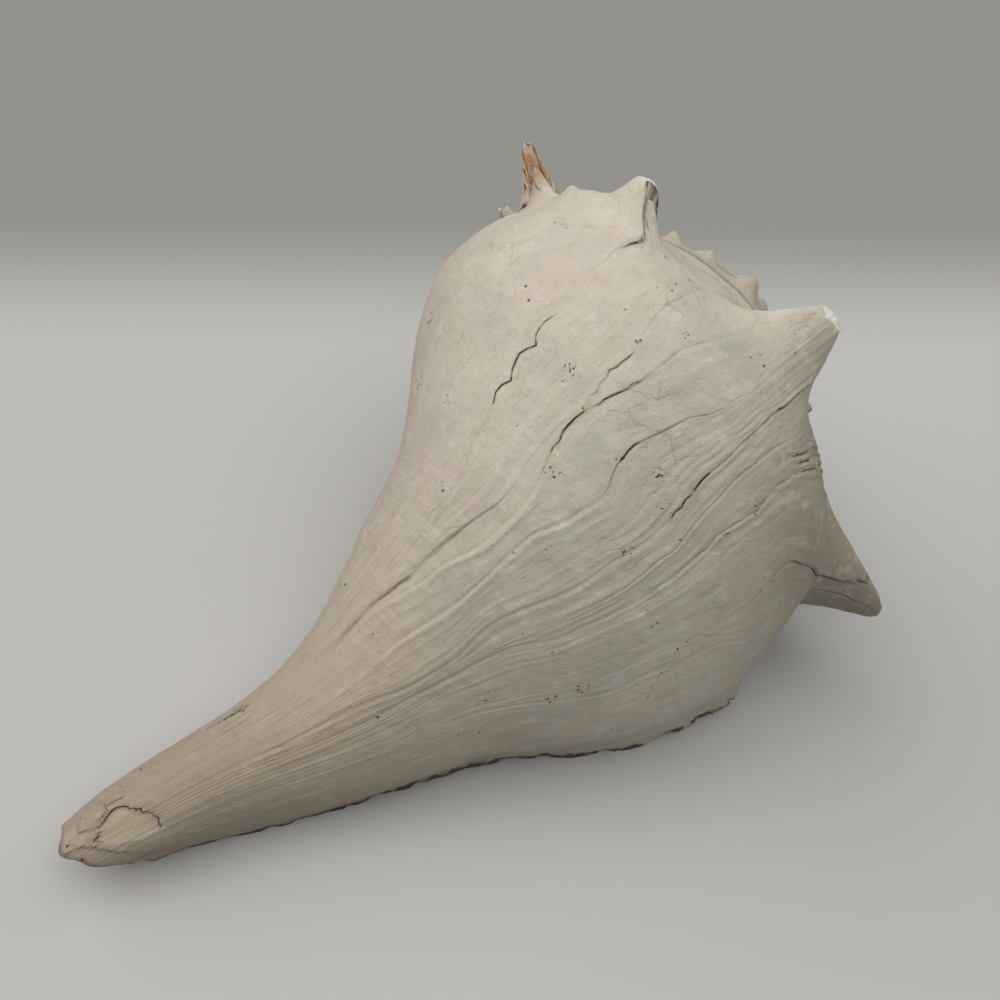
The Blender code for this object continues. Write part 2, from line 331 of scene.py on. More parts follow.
def finish_tree(tree, entry, offset=None, position=None):
    """Move the points, then end in Realize Instances, and in Set Material when the tree has a
    material.
    """
    moved = add_node(tree, "GeometryNodeSetPosition", {"Geometry": entry.outputs["Geometry"]})
    if position is not None:
        feed(tree, moved.inputs["Position"], position)
    if offset is not None:
        feed(tree, moved.inputs["Offset"], offset)
    real = add_node(tree, "GeometryNodeRealizeInstances", {"Geometry": moved.outputs[0]})
    last = real
    if "Material" in entry.outputs:
        inputs = {"Geometry": real.outputs[0], "Material": entry.outputs["Material"]}
        last = add_node(tree, "GeometryNodeSetMaterial", inputs)
    add_node(tree, "NodeGroupOutput", {"Geometry": last.outputs[0]})


print("trees can be started and finished")

# %% [markdown]
# ## The coil, as a Geometry Nodes tree
#
# This tree winds the flat sheet into the shell. A point arrives with its turn in x and its place
# along the outline in y, and carries the outline's radius and drop with it. The tree shrinks both
# by the growth factor for every turn back, swings the point round the axis, bends the canal
# aside, and lays the shell down the way it rests.
# A Screw or an Array modifier could repeat a profile too, but neither lets the radius and the
# drop grow at different rates, which is what makes a low spire on a long canal.

# %% Build the coil tree
COIL_SIZES = {
    "Axis length": AXIS_LENGTH,
    "Growth": GROWTH,
    "Spire steepness": SPIRE_STEEPNESS,
    "Canal growth across": 0.21,    # share of the growth that is kept at the canal tip
    "Canal growth along": 0.05,
    "Lip angle": 128.0,             # degrees round the axis from straight up to the lip
    "Canal twist": 21.0,            # degrees that the lip curls further under along the canal
    "Canal shift across": 0.026,    # how far the canal leaves the coiling axis
    "Canal shift up": -0.064,
    "Canal hook across": -0.100,    # how far its end curls back
    "Canal hook up": 0.080,
    "Tilt": 16.6,                   # degrees that the apex end is raised at rest
    "Roll": -0.9,                   # degrees that the shell rolls towards its lip
    "Apex across": -0.011084,       # where the apex is when the shell lies in its place
    "Apex along": 0.134808,
    "Apex up": 0.086741,
}


def build_coil_tree():
    tree, entry, size = new_tree("coil", COIL_SIZES)
    flat = add_node(tree, "ShaderNodeSeparateXYZ",
                    {0: add_node(tree, "GeometryNodeInputPosition").outputs[0]})
    turn, along = Field(tree, flat.outputs[0]), Field(tree, flat.outputs[1])

    # The spire keeps its proportions as it grows; the canal only lengthens a little.
    across_power = 1.0 - (1.0 - size["Canal growth across"]) * along.eased(0.25, 1.0)
    steep = size["Spire steepness"]
    along_power = steep - (steep - size["Canal growth along"]) * along.eased(SUTURE, 0.85)
    back = turn * -1.0
    radius = named(tree, "radius") * size["Growth"] ** (back * across_power)
    radius = (radius + named(tree, "swell")) * named(tree, "narrow")
    drop = named(tree, "drop") * size["Growth"] ** (back * along_power) + named(tree, "slant")

    # Round the axis, with the canal twisted, bent aside and hooked.
    degrees = size["Lip angle"] - turn * 360.0 + size["Canal twist"] * along.eased(0.50, 1.0)
    angle = degrees.call("RADIANS")
    bend, hook = along.eased(0.35, 1.1), along.eased(0.72, 1.05)
    x = radius * angle.call("SINE") + size["Canal shift across"] * bend
    x = x + size["Canal hook across"] * hook
    z = radius * angle.call("COSINE") + size["Canal shift up"] * bend
    z = z + size["Canal hook up"] * hook
    length = size["Axis length"]
    place = add_node(tree, "ShaderNodeCombineXYZ",
                     {0: x * length, 1: drop * length * -1.0, 2: z * length})

    # Draw the spines out, then lay the shell down: roll about Y, tilt about X.
    pushed = add_node(tree, "ShaderNodeVectorMath",
                      {0: place.outputs[0], 1: named(tree, "push", "FLOAT_VECTOR")})
    rolled = add_node(tree, "ShaderNodeVectorRotate", rotation_type="Y_AXIS",
                      inputs={"Vector": pushed.outputs[0], "Angle": size["Roll"].call("RADIANS")})
    tilted = add_node(tree, "ShaderNodeVectorRotate", rotation_type="X_AXIS",
                      inputs={"Vector": rolled.outputs[0], "Angle": size["Tilt"].call("RADIANS")})
    apex = add_node(tree, "ShaderNodeCombineXYZ",
                    {0: size["Apex across"], 1: size["Apex along"], 2: size["Apex up"]})
    placed = add_node(tree, "ShaderNodeVectorMath", {0: tilted.outputs[0], 1: apex.outputs[0]})
    finish_tree(tree, entry, position=placed.outputs[0])
    return tree


COIL = build_coil_tree()
print("coil tree:", len(COIL.nodes), "nodes,", len(COIL_SIZES), "sizes")

# %% [markdown]
# ## Winding a sheet
#
# `evaluated` gives an object the tree, reads back the plain mesh that comes out, and clears up.
# A modifier's inputs are set by their identifiers, before it runs. `wind` uses it to wind any
# list of places: the outside, the inside of the wall, or two places a hair apart, which is how
# the direction of the surface is measured.

# %% Wind places into the coil
def new_object(name, data):
    """An object in the scene for a mesh, a lamp or a camera."""
    made = bpy.data.objects.new(name, data)
    bpy.context.scene.collection.objects.link(made)
    return made


def evaluated(mesh, tree, sizes, material=None):
    """The plain mesh that a tree makes of a mesh."""
    carrier = new_object("carrier", mesh)
    modifier = carrier.modifiers.new(tree.name, "NODES")
    modifier.node_group = tree
    for socket in tree.interface.items_tree:
        if socket.in_out == "INPUT" and socket.name in sizes:
            modifier[socket.identifier] = sizes[socket.name]
        if socket.in_out == "INPUT" and socket.name == "Material":
            modifier[socket.identifier] = material
    graph = bpy.context.evaluated_depsgraph_get()
    made = bpy.data.meshes.new_from_object(carrier.evaluated_get(graph))
    carrier.modifiers.remove(modifier)
    bpy.data.objects.remove(carrier, do_unlink=True)
    bpy.data.meshes.remove(mesh)
    return made


def store(mesh, label, values, kind="FLOAT"):
    """Give every point of a mesh a value under a name."""
    layer = mesh.attributes.new(label, kind, "POINT")
    slot = "vector" if kind == "FLOAT_VECTOR" else "value"
    layer.data.foreach_set(slot, np.asarray(values, np.float32).ravel())


def coordinates(mesh):
    flat = np.empty(3 * len(mesh.vertices), np.float32)
    mesh.vertices.foreach_get("co", flat)
    return flat.reshape(-1, 3).astype(float)


def wind(turn, along, push=None):
    """Where places (turn, along) of the smooth shell end up, drawn out by push."""
    turn, along = np.broadcast_arrays(np.asarray(turn, float), np.asarray(along, float))
    flat = np.stack([turn, along, np.zeros(turn.shape)], axis=-1)
    mesh = bpy.data.meshes.new("flat_sheet")
    mesh.vertices.add(turn.size)
    mesh.vertices.foreach_set("co", flat.astype(np.float32).ravel())
    store(mesh, "radius", through(OUTLINE, along))
    store(mesh, "drop", through(OUTLINE, along, 2))
    store(mesh, "swell", swelling(turn, along))
    store(mesh, "narrow", narrowing(turn, along))
    store(mesh, "slant", canal_end(turn, along))
    store(mesh, "push", np.zeros(flat.shape) if push is None else push, "FLOAT_VECTOR")
    wound = evaluated(mesh, COIL, COIL_SIZES)
    points = coordinates(wound).reshape(flat.shape)
    bpy.data.meshes.remove(wound)
    return points


corner_points = wind(np.array([0.0, 1.0]), np.array([SHOULDER, SHOULDER]))
print("shoulder at the lip and one turn back, mm:", np.round(1000 * corner_points, 1).tolist())

# %% [markdown]
# ## Growth lines
#
# The animal stopped growing now and then, and each stop left an edge across the whole shell.
# These edges are the strongest marks on it: ridges that sweep down from the big spine, a crease
# that runs to the canal, and fine cracks that opened later along the same lines.
# Each line is a few points of (along, turn). The columns of the sheet are made to follow the
# lines, so that even a narrow crack falls on real points and stays sharp.

# %% The growth lines
GROWTH_LINES = {
    "lip": ((0.0, 0.0), (0.5, 0.0), (1.0, 0.0)),
    "lip_line": ((0.0, 0.03), (0.17, 0.052), (0.26, 0.080), (0.331, 0.102), (0.40, 0.107),
                 (0.43, 0.110), (0.483, 0.124), (0.515, 0.124), (0.55, 0.128), (0.59, 0.127),
                 (0.631, 0.144), (0.66, 0.160), (0.73, 0.20), (0.82, 0.24), (1.0, 0.27)),
    "lip_fold": ((0.0, 0.055), (0.164, 0.069), (0.198, 0.073), (0.26, 0.105), (0.319, 0.138),
                 (0.353, 0.151), (0.363, 0.155), (0.389, 0.155), (0.409, 0.152), (0.45, 0.143),
                 (0.55, 0.145), (0.60, 0.151), (0.66, 0.172), (0.73, 0.212), (0.82, 0.257),
                 (1.0, 0.290)),
    "pleat": ((0.0, 0.12), (0.10, 0.14), (0.142, 0.153), (0.20, 0.176), (0.273, 0.192),
              (0.337, 0.197), (0.389, 0.194), (0.437, 0.195), (0.459, 0.192), (0.485, 0.189),
              (0.543, 0.189), (0.577, 0.195), (0.609, 0.203), (0.635, 0.219), (0.68, 0.237),
              (0.74, 0.272), (0.83, 0.32), (1.0, 0.36)),
    "white_line": ((0.0, 0.165), (0.10, 0.175), (0.16, 0.187), (0.22, 0.200), (0.289, 0.2115),
                   (0.353, 0.214), (0.395, 0.214), (0.417, 0.212), (0.443, 0.210),
                   (0.465, 0.206), (0.479, 0.203), (0.499, 0.203), (0.517, 0.201),
                   (0.55, 0.203), (0.58, 0.209), (0.62, 0.222), (0.65, 0.233), (0.70, 0.252),
                   (0.75, 0.288), (0.83, 0.336), (1.0, 0.372)),
    "big_ridge": ((0.0, 0.19), (0.10, 0.205), (0.184, 0.213), (0.212, 0.217), (0.263, 0.2235),
                  (0.323, 0.226), (0.373, 0.2255), (0.397, 0.225), (0.421, 0.2255),
                  (0.442, 0.223), (0.463, 0.2205), (0.485, 0.2175), (0.507, 0.218),
                  (0.531, 0.221), (0.557, 0.223), (0.579, 0.228), (0.599, 0.236),
                  (0.619, 0.245), (0.643, 0.252), (0.671, 0.2535), (0.695, 0.263),
                  (0.717, 0.276), (0.747, 0.306), (0.83, 0.350), (1.0, 0.385)),
    "notch_crack": ((0.0, 0.225), (0.20, 0.236), (0.30, 0.243), (0.365, 0.247), (0.397, 0.254),
                    (0.419, 0.257), (0.441, 0.261), (0.457, 0.264), (0.471, 0.263),
                    (0.481, 0.262), (0.489, 0.260), (0.495, 0.257), (0.527, 0.259),
                    (0.545, 0.263), (0.559, 0.270), (0.60, 0.279), (0.65, 0.292),
                    (0.71, 0.33), (0.76, 0.357), (0.83, 0.385), (1.0, 0.41)),
    "long_crack": ((0.0, 0.250), (0.12, 0.260), (0.200, 0.2635), (0.228, 0.267), (0.269, 0.273),
                   (0.303, 0.277), (0.341, 0.281), (0.375, 0.282), (0.399, 0.284),
                   (0.419, 0.287), (0.446, 0.292), (0.471, 0.2975), (0.482, 0.299),
                   (0.505, 0.298), (0.527, 0.295), (0.543, 0.291), (0.565, 0.292),
                   (0.589, 0.297), (0.611, 0.306), (0.633, 0.323), (0.657, 0.338),
                   (0.691, 0.373), (0.721, 0.403), (0.745, 0.416), (0.81, 0.44), (0.88, 0.46),
                   (1.0, 0.475)),
    "crease": ((0.0, 0.285), (0.178, 0.298), (0.228, 0.2995), (0.303, 0.302), (0.357, 0.300),
               (0.384, 0.2975), (0.432, 0.300), (0.451, 0.2995), (0.468, 0.3005),
               (0.49, 0.304), (0.53, 0.305), (0.573, 0.309), (0.597, 0.320), (0.618, 0.332),
               (0.652, 0.350), (0.688, 0.380), (0.721, 0.408), (0.745, 0.425), (0.81, 0.455),
               (0.88, 0.475), (1.0, 0.49)),
    "old_lip": ((0.0, 0.345), (0.10, 0.350), (0.130, 0.357), (0.145, 0.364), (0.155, 0.369),
                (0.163, 0.371), (0.172, 0.366), (0.184, 0.353), (0.224, 0.347), (0.267, 0.347),
                (0.299, 0.345), (0.327, 0.346), (0.373, 0.345), (0.400, 0.3435), (0.419, 0.347),
                (0.431, 0.350), (0.443, 0.351), (0.457, 0.347), (0.467, 0.352), (0.481, 0.353),
                (0.491, 0.349), (0.507, 0.355), (0.513, 0.353), (0.523, 0.353), (0.56, 0.357),
                (0.60, 0.368), (0.64, 0.386), (0.68, 0.410), (0.72, 0.440), (0.76, 0.465),
                (0.82, 0.49), (0.90, 0.51), (1.0, 0.52)),
    "tall_spine": ((0.0, 0.470), (0.10, 0.471), (0.130, 0.474), (0.145, 0.480), (0.155, 0.490),
                   (0.163, 0.495), (0.172, 0.493), (0.19, 0.490), (0.212, 0.490), (0.25, 0.490),
                   (0.50, 0.492), (0.60, 0.502), (0.68, 0.52), (0.76, 0.545), (0.83, 0.560),
                   (1.0, 0.58)),
    "left_side": ((0.0, 0.550), (0.135, 0.550), (0.155, 0.559), (0.175, 0.559), (0.5, 0.563),
                  (0.65, 0.59), (0.83, 0.63), (1.0, 0.65)),
    "back": ((0.0, 0.75), (0.5, 0.76), (1.0, 0.80)),
    "under": ((0.0, 1.0), (0.5, 1.0), (1.0, 1.0)),
}
print(len(GROWTH_LINES), "growth lines")

# %% [markdown]
# ## The age of the shell
#
# Where a growth line crosses the belly gives its age. Between two lines the age is shared out
# evenly, so one number says which strip of shell was grown together.

# %% Put the lines in order
LINE_NAMES = list(GROWTH_LINES)
CRACK_PLACE = 0.45       # the place along the outline where each line's age is read
LEAST_GAP = 0.0022       # turns that neighbouring lines keep from each other


def line_turns(along):
    """The turn of every growth line at each place along the outline, kept in order."""
    rows = [through(GROWTH_LINES[name], along) for name in LINE_NAMES]
    for k in range(1, len(rows)):
        rows[k] = np.maximum(rows[k], rows[k - 1] + LEAST_GAP)
    rows[-1] = np.ones_like(rows[-1])
    return np.array(rows)


AGES = line_turns(np.array([CRACK_PLACE]))[:, 0]
print("ages of the growth lines:", dict(zip(LINE_NAMES, np.round(AGES, 3).tolist())))

# %% [markdown]
# ## Rows and columns of the sheet
#
# Points are spent where the shape needs them. Rows crowd together at the shoulder, where the
# spines are, and near the canal tip. Columns are closest where the marks are finest, with a few
# extra on both sides of every growth line. The far side has fewer, because nothing there is as
# sharp. The last few millimetres at the lip get a strip of their own with five times as many
# rows, because the lip is chipped.

# %% Lay out the sheet
RAMP_ROWS = np.concatenate([np.linspace(0, 0.105, 12), np.linspace(0.112, 0.203, 28)])
BODY_ROWS = np.concatenate([np.linspace(0.256, 0.922, 88), np.linspace(0.926, 0.986, 24),
                            [0.993, 1.0]])
ROWS = np.concatenate([RAMP_ROWS, [SUTURE, SUTURE + CORNER / 2, SUTURE + CORNER], BODY_ROWS])
RAMP = len(RAMP_ROWS)
COLUMN_STEPS = ((0.008, 0.18, 0.0018), (0.18, 0.235, 0.0008), (0.235, 0.38, 0.0016),
                (0.38, 0.62, 0.0032), (0.62, 1.0, 0.0070))     # from age, to age, spacing
RIM_AGES = np.array([0.0, 0.0007, 0.0015, 0.0026, 0.0040, 0.0058])   # finer, for the lip's chips
RIM_ROWS = np.concatenate([ROWS[ROWS < 0.355], np.arange(0.36, 0.9985, 0.0016), [1.0]])
BESIDE_LINE = (-0.0016, -0.0008, -0.0003, 0.0, 0.0003, 0.0008, 0.0016)
LINE_CLEARANCE = 0.0005  # age that an even column keeps from the columns beside a line
SPIRE_COLUMNS = (110, 60, 40, 24, 16, 12)   # in each older turn, the youngest first


def column_ages():
    """The ages of all columns: even ones, and those beside the growth lines."""
    plain = np.concatenate([np.arange(low, high - step / 2, step)
                            for low, high, step in COLUMN_STEPS])
    near = [age + side for age in AGES[1:-2] for side in BESIDE_LINE]
    kept = []
    for age in sorted(near):
        if not kept or age - kept[-1] > 2e-4:
            kept.append(age)
    near = np.array(kept)
    clear = np.abs(plain[:, None] - near[None, :]).min(axis=1) > LINE_CLEARANCE
    clear[0] = True
    return np.sort(np.concatenate([plain[clear], near[near > 0.001], [1.0]]))


def turn_at(age, along):
    """The turn where shell of one age crosses each place along the outline."""
    lines = line_turns(along)
    k = np.clip(np.searchsorted(AGES, age, side="right") - 1, 0, len(AGES) - 2)
    share = (age - AGES[k]) / (AGES[k + 1] - AGES[k])
    younger = np.take_along_axis(lines, k[None], 0)[0]
    older = np.take_along_axis(lines, k[None] + 1, 0)[0]
    return younger + share * (older - younger)


COLUMN_AGES = column_ages()
BODY_AGE, BODY_ALONG = np.meshgrid(COLUMN_AGES, ROWS, indexing="ij")
BODY_TURN = turn_at(BODY_AGE, BODY_ALONG)
RIM_AGE, RIM_ALONG = np.meshgrid(RIM_AGES, RIM_ROWS, indexing="ij")
RIM_TURN = turn_at(RIM_AGE, RIM_ALONG)
print(f"the last whorl has {len(COLUMN_AGES)} columns and {len(ROWS)} rows")
print(f"the rim of the lip has {len(RIM_AGES)} columns and {len(RIM_ROWS)} rows")

# %% [markdown]
# ## Spines
#
# A whelk grows a spine by folding the edge of its lip outwards, like a spout. So a spine is a
# cup: high and open on the side that the shell was growing to. Later growth starts again inside
# the cup, lower down, and leaves a tongue with a dark gap between the two layers.
# Every spine is a pull on the sheet, out from the axis and a little to the apex. It has a broad
# foot and a sharper peak, and past the growth line of its cup it drops to the tongue.

# %% Spines of the last whorl
Spine = namedtuple("Spine", "turn reach lean wide tall point sharp line drop cut",
                   defaults=(None, 0.0, 1.0))
# Reach is in axis lengths, lean in degrees to the apex, wide in turns, tall along the outline.
# Point is the share of the height that is in the sharp peak. Line is the growth line that ends
# its cup, drop is how far the tongue inside is lower, and cut is where the tip has broken off.
SPINES = (
    Spine(0.045, 0.125, -1.0, 0.046, 0.068, 0.42, 1.8),
    Spine(0.145, 0.004, 30.0, 0.030, 0.045, 0.00, 2.0),
    Spine(0.234, 0.090, 54.0, 0.030, 0.044, 0.42, 2.3, cut=0.92),
    Spine(0.370, 0.068, 52.0, 0.029, 0.044, 0.60, 2.2, "old_lip", 0.22, 0.88),
    Spine(0.424, 0.034, 40.0, 0.044, 0.040, 0.00, 2.0),
    Spine(0.444, 0.012, 40.0, 0.012, 0.022, 0.50, 2.0),
    Spine(0.496, 0.136, 28.0, 0.031, 0.044, 0.62, 1.9, "tall_spine", 0.20, 0.92),
    Spine(0.565, 0.118, 12.0, 0.034, 0.050, 0.70, 2.2, cut=0.88),
    Spine(0.690, 0.080, 20.0, 0.030, 0.045, 0.50, 1.8, cut=0.94),
    Spine(0.800, 0.180, 8.0, 0.030, 0.045, 0.00, 2.0),
    Spine(0.915, 0.055, 35.0, 0.030, 0.045, 0.40, 1.8),
)
KNOB_FIRST, KNOB_PITCH, KNOB_LAST = 1.0225, 0.0625, 4.2
KNOB_REACH, KNOB_LEAN = 0.038, 40.0
KNOB_WIDTH = (0.019, 0.036)
PEAK_WIDTH = 0.62        # the peak of a spine is this much narrower than its foot
TONGUE_WIDTH = 0.90      # and the tongue inside its cup is this much narrower than the spine
CUP_GAP = (0.0034, 0.30)     # width in turns and depth of the gap between cup and tongue
BLUNT_DEPTH, BLUNT_SLOPE = 0.04, 0.3   # how far below its cut a tip turns blunt, and what is left
CROWDED_FROM = 0.05      # rows are drawn together on spines that reach at least this far


def knobs():
    """The small even knobs of the spire, each a little larger or smaller than the next."""
    turns = np.arange(KNOB_FIRST, KNOB_LAST, KNOB_PITCH)
    uneven = 1.0 + 0.45 * wobble(turns, 0.19, 5)
    return tuple(Spine(turn, KNOB_REACH * size, KNOB_LEAN, *KNOB_WIDTH, 0.70, 1.8, cut=0.96)
                 for turn, size in zip(turns, uneven))


ALL_SPINES = SPINES + knobs()
print(len(ALL_SPINES), "spines and knobs")

# %% [markdown]
# ## The shape of one spine
#
# Each spine is a soft hill with a sharp peak on it. The peak is pressed blunt where the tip has
# broken off. Past the line of its cup, the hill drops to the lower and narrower tongue.

# %% Hill, peak, cup and tongue
def spine_shape(turn, along, spine):
    """Height of one spine as a share of its reach, how far into its cup, and the uncut height."""
    side, high = (turn - spine.turn) / spine.wide, (along - SHOULDER) / spine.tall
    foot = np.exp(-(side**2 + high**2))
    peak = np.exp(-((side**2 + high**2) / PEAK_WIDTH**2) ** (spine.sharp / 2))
    shape = (1.0 - spine.point) * foot + spine.point * peak
    ragged = 0.05 * wobble(side * 0.8 + 3.0 * high, 1.0, 17 + int(97 * spine.turn))
    edge = spine.cut + ragged - BLUNT_DEPTH
    shape = np.where(shape > edge, edge + BLUNT_SLOPE * (shape - edge), shape)
    if spine.line is None:
        return shape, np.zeros(shape.shape), shape
    past = through(GROWTH_LINES[spine.line], along) - turn    # above 0 inside the cup
    gap_wide, gap_deep = CUP_GAP
    narrow = bell(high, TONGUE_WIDTH) / bell(high, 1.0)
    tongue = (1.0 - spine.drop) * np.minimum(narrow, 1.0)
    gap = gap_deep * bell(past - 0.4 * gap_wide, gap_wide) * bell(high, 0.7)
    inside_cup = (past > 0) * bell(high, 1.15, 4)
    return shape * (1.0 - inside_cup * (1.0 - tongue + gap)), past, shape


tallest = max(SPINES, key=lambda spine: spine.reach * GROWTH ** (-spine.turn))
reach_mm = 1000 * AXIS_LENGTH * tallest.reach * GROWTH ** (-tallest.turn)
print(f"the longest spine, at turn {tallest.turn}, would reach {reach_mm:.0f} mm if unbroken")

# %% [markdown]
# ## Drawing the spines out
#
# A pull stretches the sheet, and a stretched grid has long faces just where the shell is most
# detailed. So the rows are crowded together at the shoulder of each spine before it is drawn out.

# %% Pull the sheet, and crowd its rows
def spine_push(turn, along):
    """How far each place is drawn out by the spines, in the frame of the axis."""
    turn, along = np.broadcast_arrays(np.asarray(turn, float), np.asarray(along, float))
    push = np.zeros(turn.shape + (3,))
    angle = np.radians(COIL_SIZES["Lip angle"] - 360.0 * turn)
    for spine in ALL_SPINES:
        size = AXIS_LENGTH * spine.reach * GROWTH ** (-spine.turn)
        size = size * spine_shape(turn, along, spine)[0]
        lean = math.radians(spine.lean)
        out = size * math.cos(lean)
        push[..., 0] += out * np.sin(angle)
        push[..., 2] += out * np.cos(angle)
        push[..., 1] += size * math.sin(lean)
    return push


def gather(turn, along):
    """Draw the sheet's rows together at the shoulder of each spine, for its tall, thin part."""
    for spine in SPINES:
        if spine.reach < CROWDED_FROM:
            continue
        near = 0.55 * bell(turn - spine.turn, 1.1 * spine.wide, 4)
        away = np.abs((along - SHOULDER) / (1.3 * spine.tall))
        pull = np.where(away < 1.0, away ** 0.6 * (1 - away) + away, 1.0)
        along = SHOULDER + (along - SHOULDER) * (1 - near + near * pull)
    return along


on_ramp = (BODY_ALONG > 0.01) & (BODY_ALONG < SUTURE - 0.005) & (BODY_AGE < 1)
BODY_ALONG = np.where(on_ramp, gather(BODY_TURN, BODY_ALONG), BODY_ALONG)
BODY_TURN = turn_at(BODY_AGE, BODY_ALONG)
print("rows crowded at", sum(spine.reach >= CROWDED_FROM for spine in SPINES), "spines")

# %% [markdown]
# ## The edge of the lip
#
# The lip is thin and has lost small chips all along. A chip is a place where the sheet ends a
# little sooner. Each one is given in millimetres, and turned into turns with `girth`, the length
# of one whole turn at that place.

# %% Lip edge and chips
# How far the edge runs ahead of the even lip, as (along, turns).
LIP_EDGE = ((0.0, 0.0), (0.18, 0.004), (0.30, 0.020), (0.50, 0.0), (0.60, 0.0), (0.78, 0.002),
            (1.0, -0.005))
CHIPS = (  # along, depth in mm, width along
    (0.430, 1.0, 0.005),
    (0.478, 0.7, 0.006),
    (0.520, 1.0, 0.008),
    (0.588, 1.2, 0.007),
    (0.640, 1.6, 0.006),
    (0.668, 1.2, 0.012),
    (0.752, 1.0, 0.006),
    (0.790, 1.8, 0.007),
    (0.856, 1.8, 0.009),
    (0.884, 2.2, 0.006),
    (0.930, 2.6, 0.008),
    (0.972, 2.0, 0.006),
)


LEAST_RADIUS = 0.03      # in axis lengths; the canal tip never counts as thinner


def girth(turn, along):
    """Millimetres in one turn at a place."""
    power = 1.0 - (1.0 - COIL_SIZES["Canal growth across"]) * ease(0.25, 1.0, along)
    radius = through(OUTLINE, along) * GROWTH ** (-turn * power)
    return 2000 * np.pi * AXIS_LENGTH * np.maximum(radius, LEAST_RADIUS)


def grown(turn, along):
    """The turn of a section once the uneven edge of the lip is added to it."""
    past = through(LIP_EDGE, along) * (1.0 - ease(0.0, 0.25, turn))
    chips = 0.35 + 0.35 * wobble(along, 0.043, 3, 5)
    for at_along, depth, wide in CHIPS:
        chips = chips + depth * bell(along - at_along, wide, 3)
    chips = chips * ease(0.02, 0.10, along) / girth(0.0, along)
    return turn - past + chips * (1.0 - ease(0.0, 0.05, turn))


FLARE = ((0.0, 0.0), (0.30, 0.0), (0.38, 5.6), (0.43, 7.6), (0.47, 6.2), (0.51, 6.4), (0.59, 5.8),
         (0.67, 5.4), (0.75, 4.3), (0.82, 3.3), (0.90, 2.3), (1.0, 1.6))    # along, mm outwards
FLARE_REACH, BITE_REACH = 0.045, 0.0075     # turns in from the lip
DEEPEST_BITE = 3.0                          # mm


def bites(along):
    """Millimetres that are broken off the edge of the lip: ragged all along, with larger chips."""
    ragged = 0.10 + 0.10 * wobble(along, 0.007, 75, 3)
    ragged = ragged + 0.45 * ease(0.20, 0.34, wobble(along, 0.060, 73, 4))
    for at_along, depth, wide in CHIPS:
        ragged = ragged + 0.9 * depth * bell(along - at_along, 0.7 * wide, 4)
    return np.clip(ragged, 0.0, DEEPEST_BITE) * ease(0.30, 0.42, along)


def flare(turn, along):
    """The lip turns outwards, most at its very edge, and small bites are missing from it."""
    edge = through(FLARE, along) * np.clip(1.0 - turn / FLARE_REACH, 0.0, 1.0) ** 3
    edge = edge - bites(along) * (1.0 - ease(0.4 * BITE_REACH, BITE_REACH, turn))
    return 0.001 * edge[..., None] * np.array([1.0, 0.0, 0.0])


print(f"{len(CHIPS)} chips, up to {max(chip[1] for chip in CHIPS)} mm deep")

# %% [markdown]
# ## The wall of the shell
#
# The outside is the wound sheet with its spines. Where a new whorl begins, it shares the surface
# of the older one, so the two join without a gap. The inside of the mouth is the same sheet moved
# in by the thickness of the wall. To move it, its direction is measured: wind two places a hair
# apart each way and take the cross product.

# %% Outside, inside and direction
WALL = 0.0030            # metres
FOOT_BLEND = 0.10        # width along the outline where a whorl takes on the one it covers
STEP, FINE_STEP = 0.002, 0.0012   # small steps used to measure a direction


def outer(turn, along):
    """Places on the outside, with the spines, the flare and the bites of the lip."""
    turn, along = np.broadcast_arrays(np.asarray(turn, float), np.asarray(along, float))
    turn = grown(turn, along)
    own = ease(0.0, FOOT_BLEND, along)[..., None]
    joined = spine_push(turn + 1.0, np.full(along.shape, SUTURE))
    push = own * spine_push(turn, along) + (1.0 - own) * joined
    return wind(turn, along, push + flare(turn, along))


def outward(surface, turn, along, step=STEP):
    """Unit direction out of a surface, and the millimetres in one turn on it."""
    low, high = np.clip(along - step, 0.0, 1.0), np.clip(along + step, 0.0, 1.0)
    down = surface(turn, high) - surface(turn, low)
    round_axis = surface(turn + step, along) - surface(turn - step, along)
    normal = np.cross(round_axis, down)
    normal /= np.maximum(np.linalg.norm(normal, axis=-1, keepdims=True), 1e-12)
    return normal, 1000.0 * np.linalg.norm(round_axis, axis=-1) / (2 * step)


def older_wall(turn, share):
    """The older whorl inside the mouth, from the corner at the suture to the canal tip."""
    start = SUTURE + CORNER
    return outer(turn + 1.0, start + (1.0 - start) * share)


def inner(turn, along):
    """The inside of the outer wall, closing on the older whorl at the suture corner."""
    past = grown(turn, along)
    offset = wind(past, along, flare(past, along)) - WALL * outward(wind, past, along)[0]
    own = ease(0.0, FOOT_BLEND, along)[..., None]
    return own * offset + (1.0 - own) * older_wall(turn, along)


probe = outward(wind, np.array([0.3]), np.array([0.35]))[0][0]
print("the wall faces", np.round(probe, 2).tolist(), "above the belly")
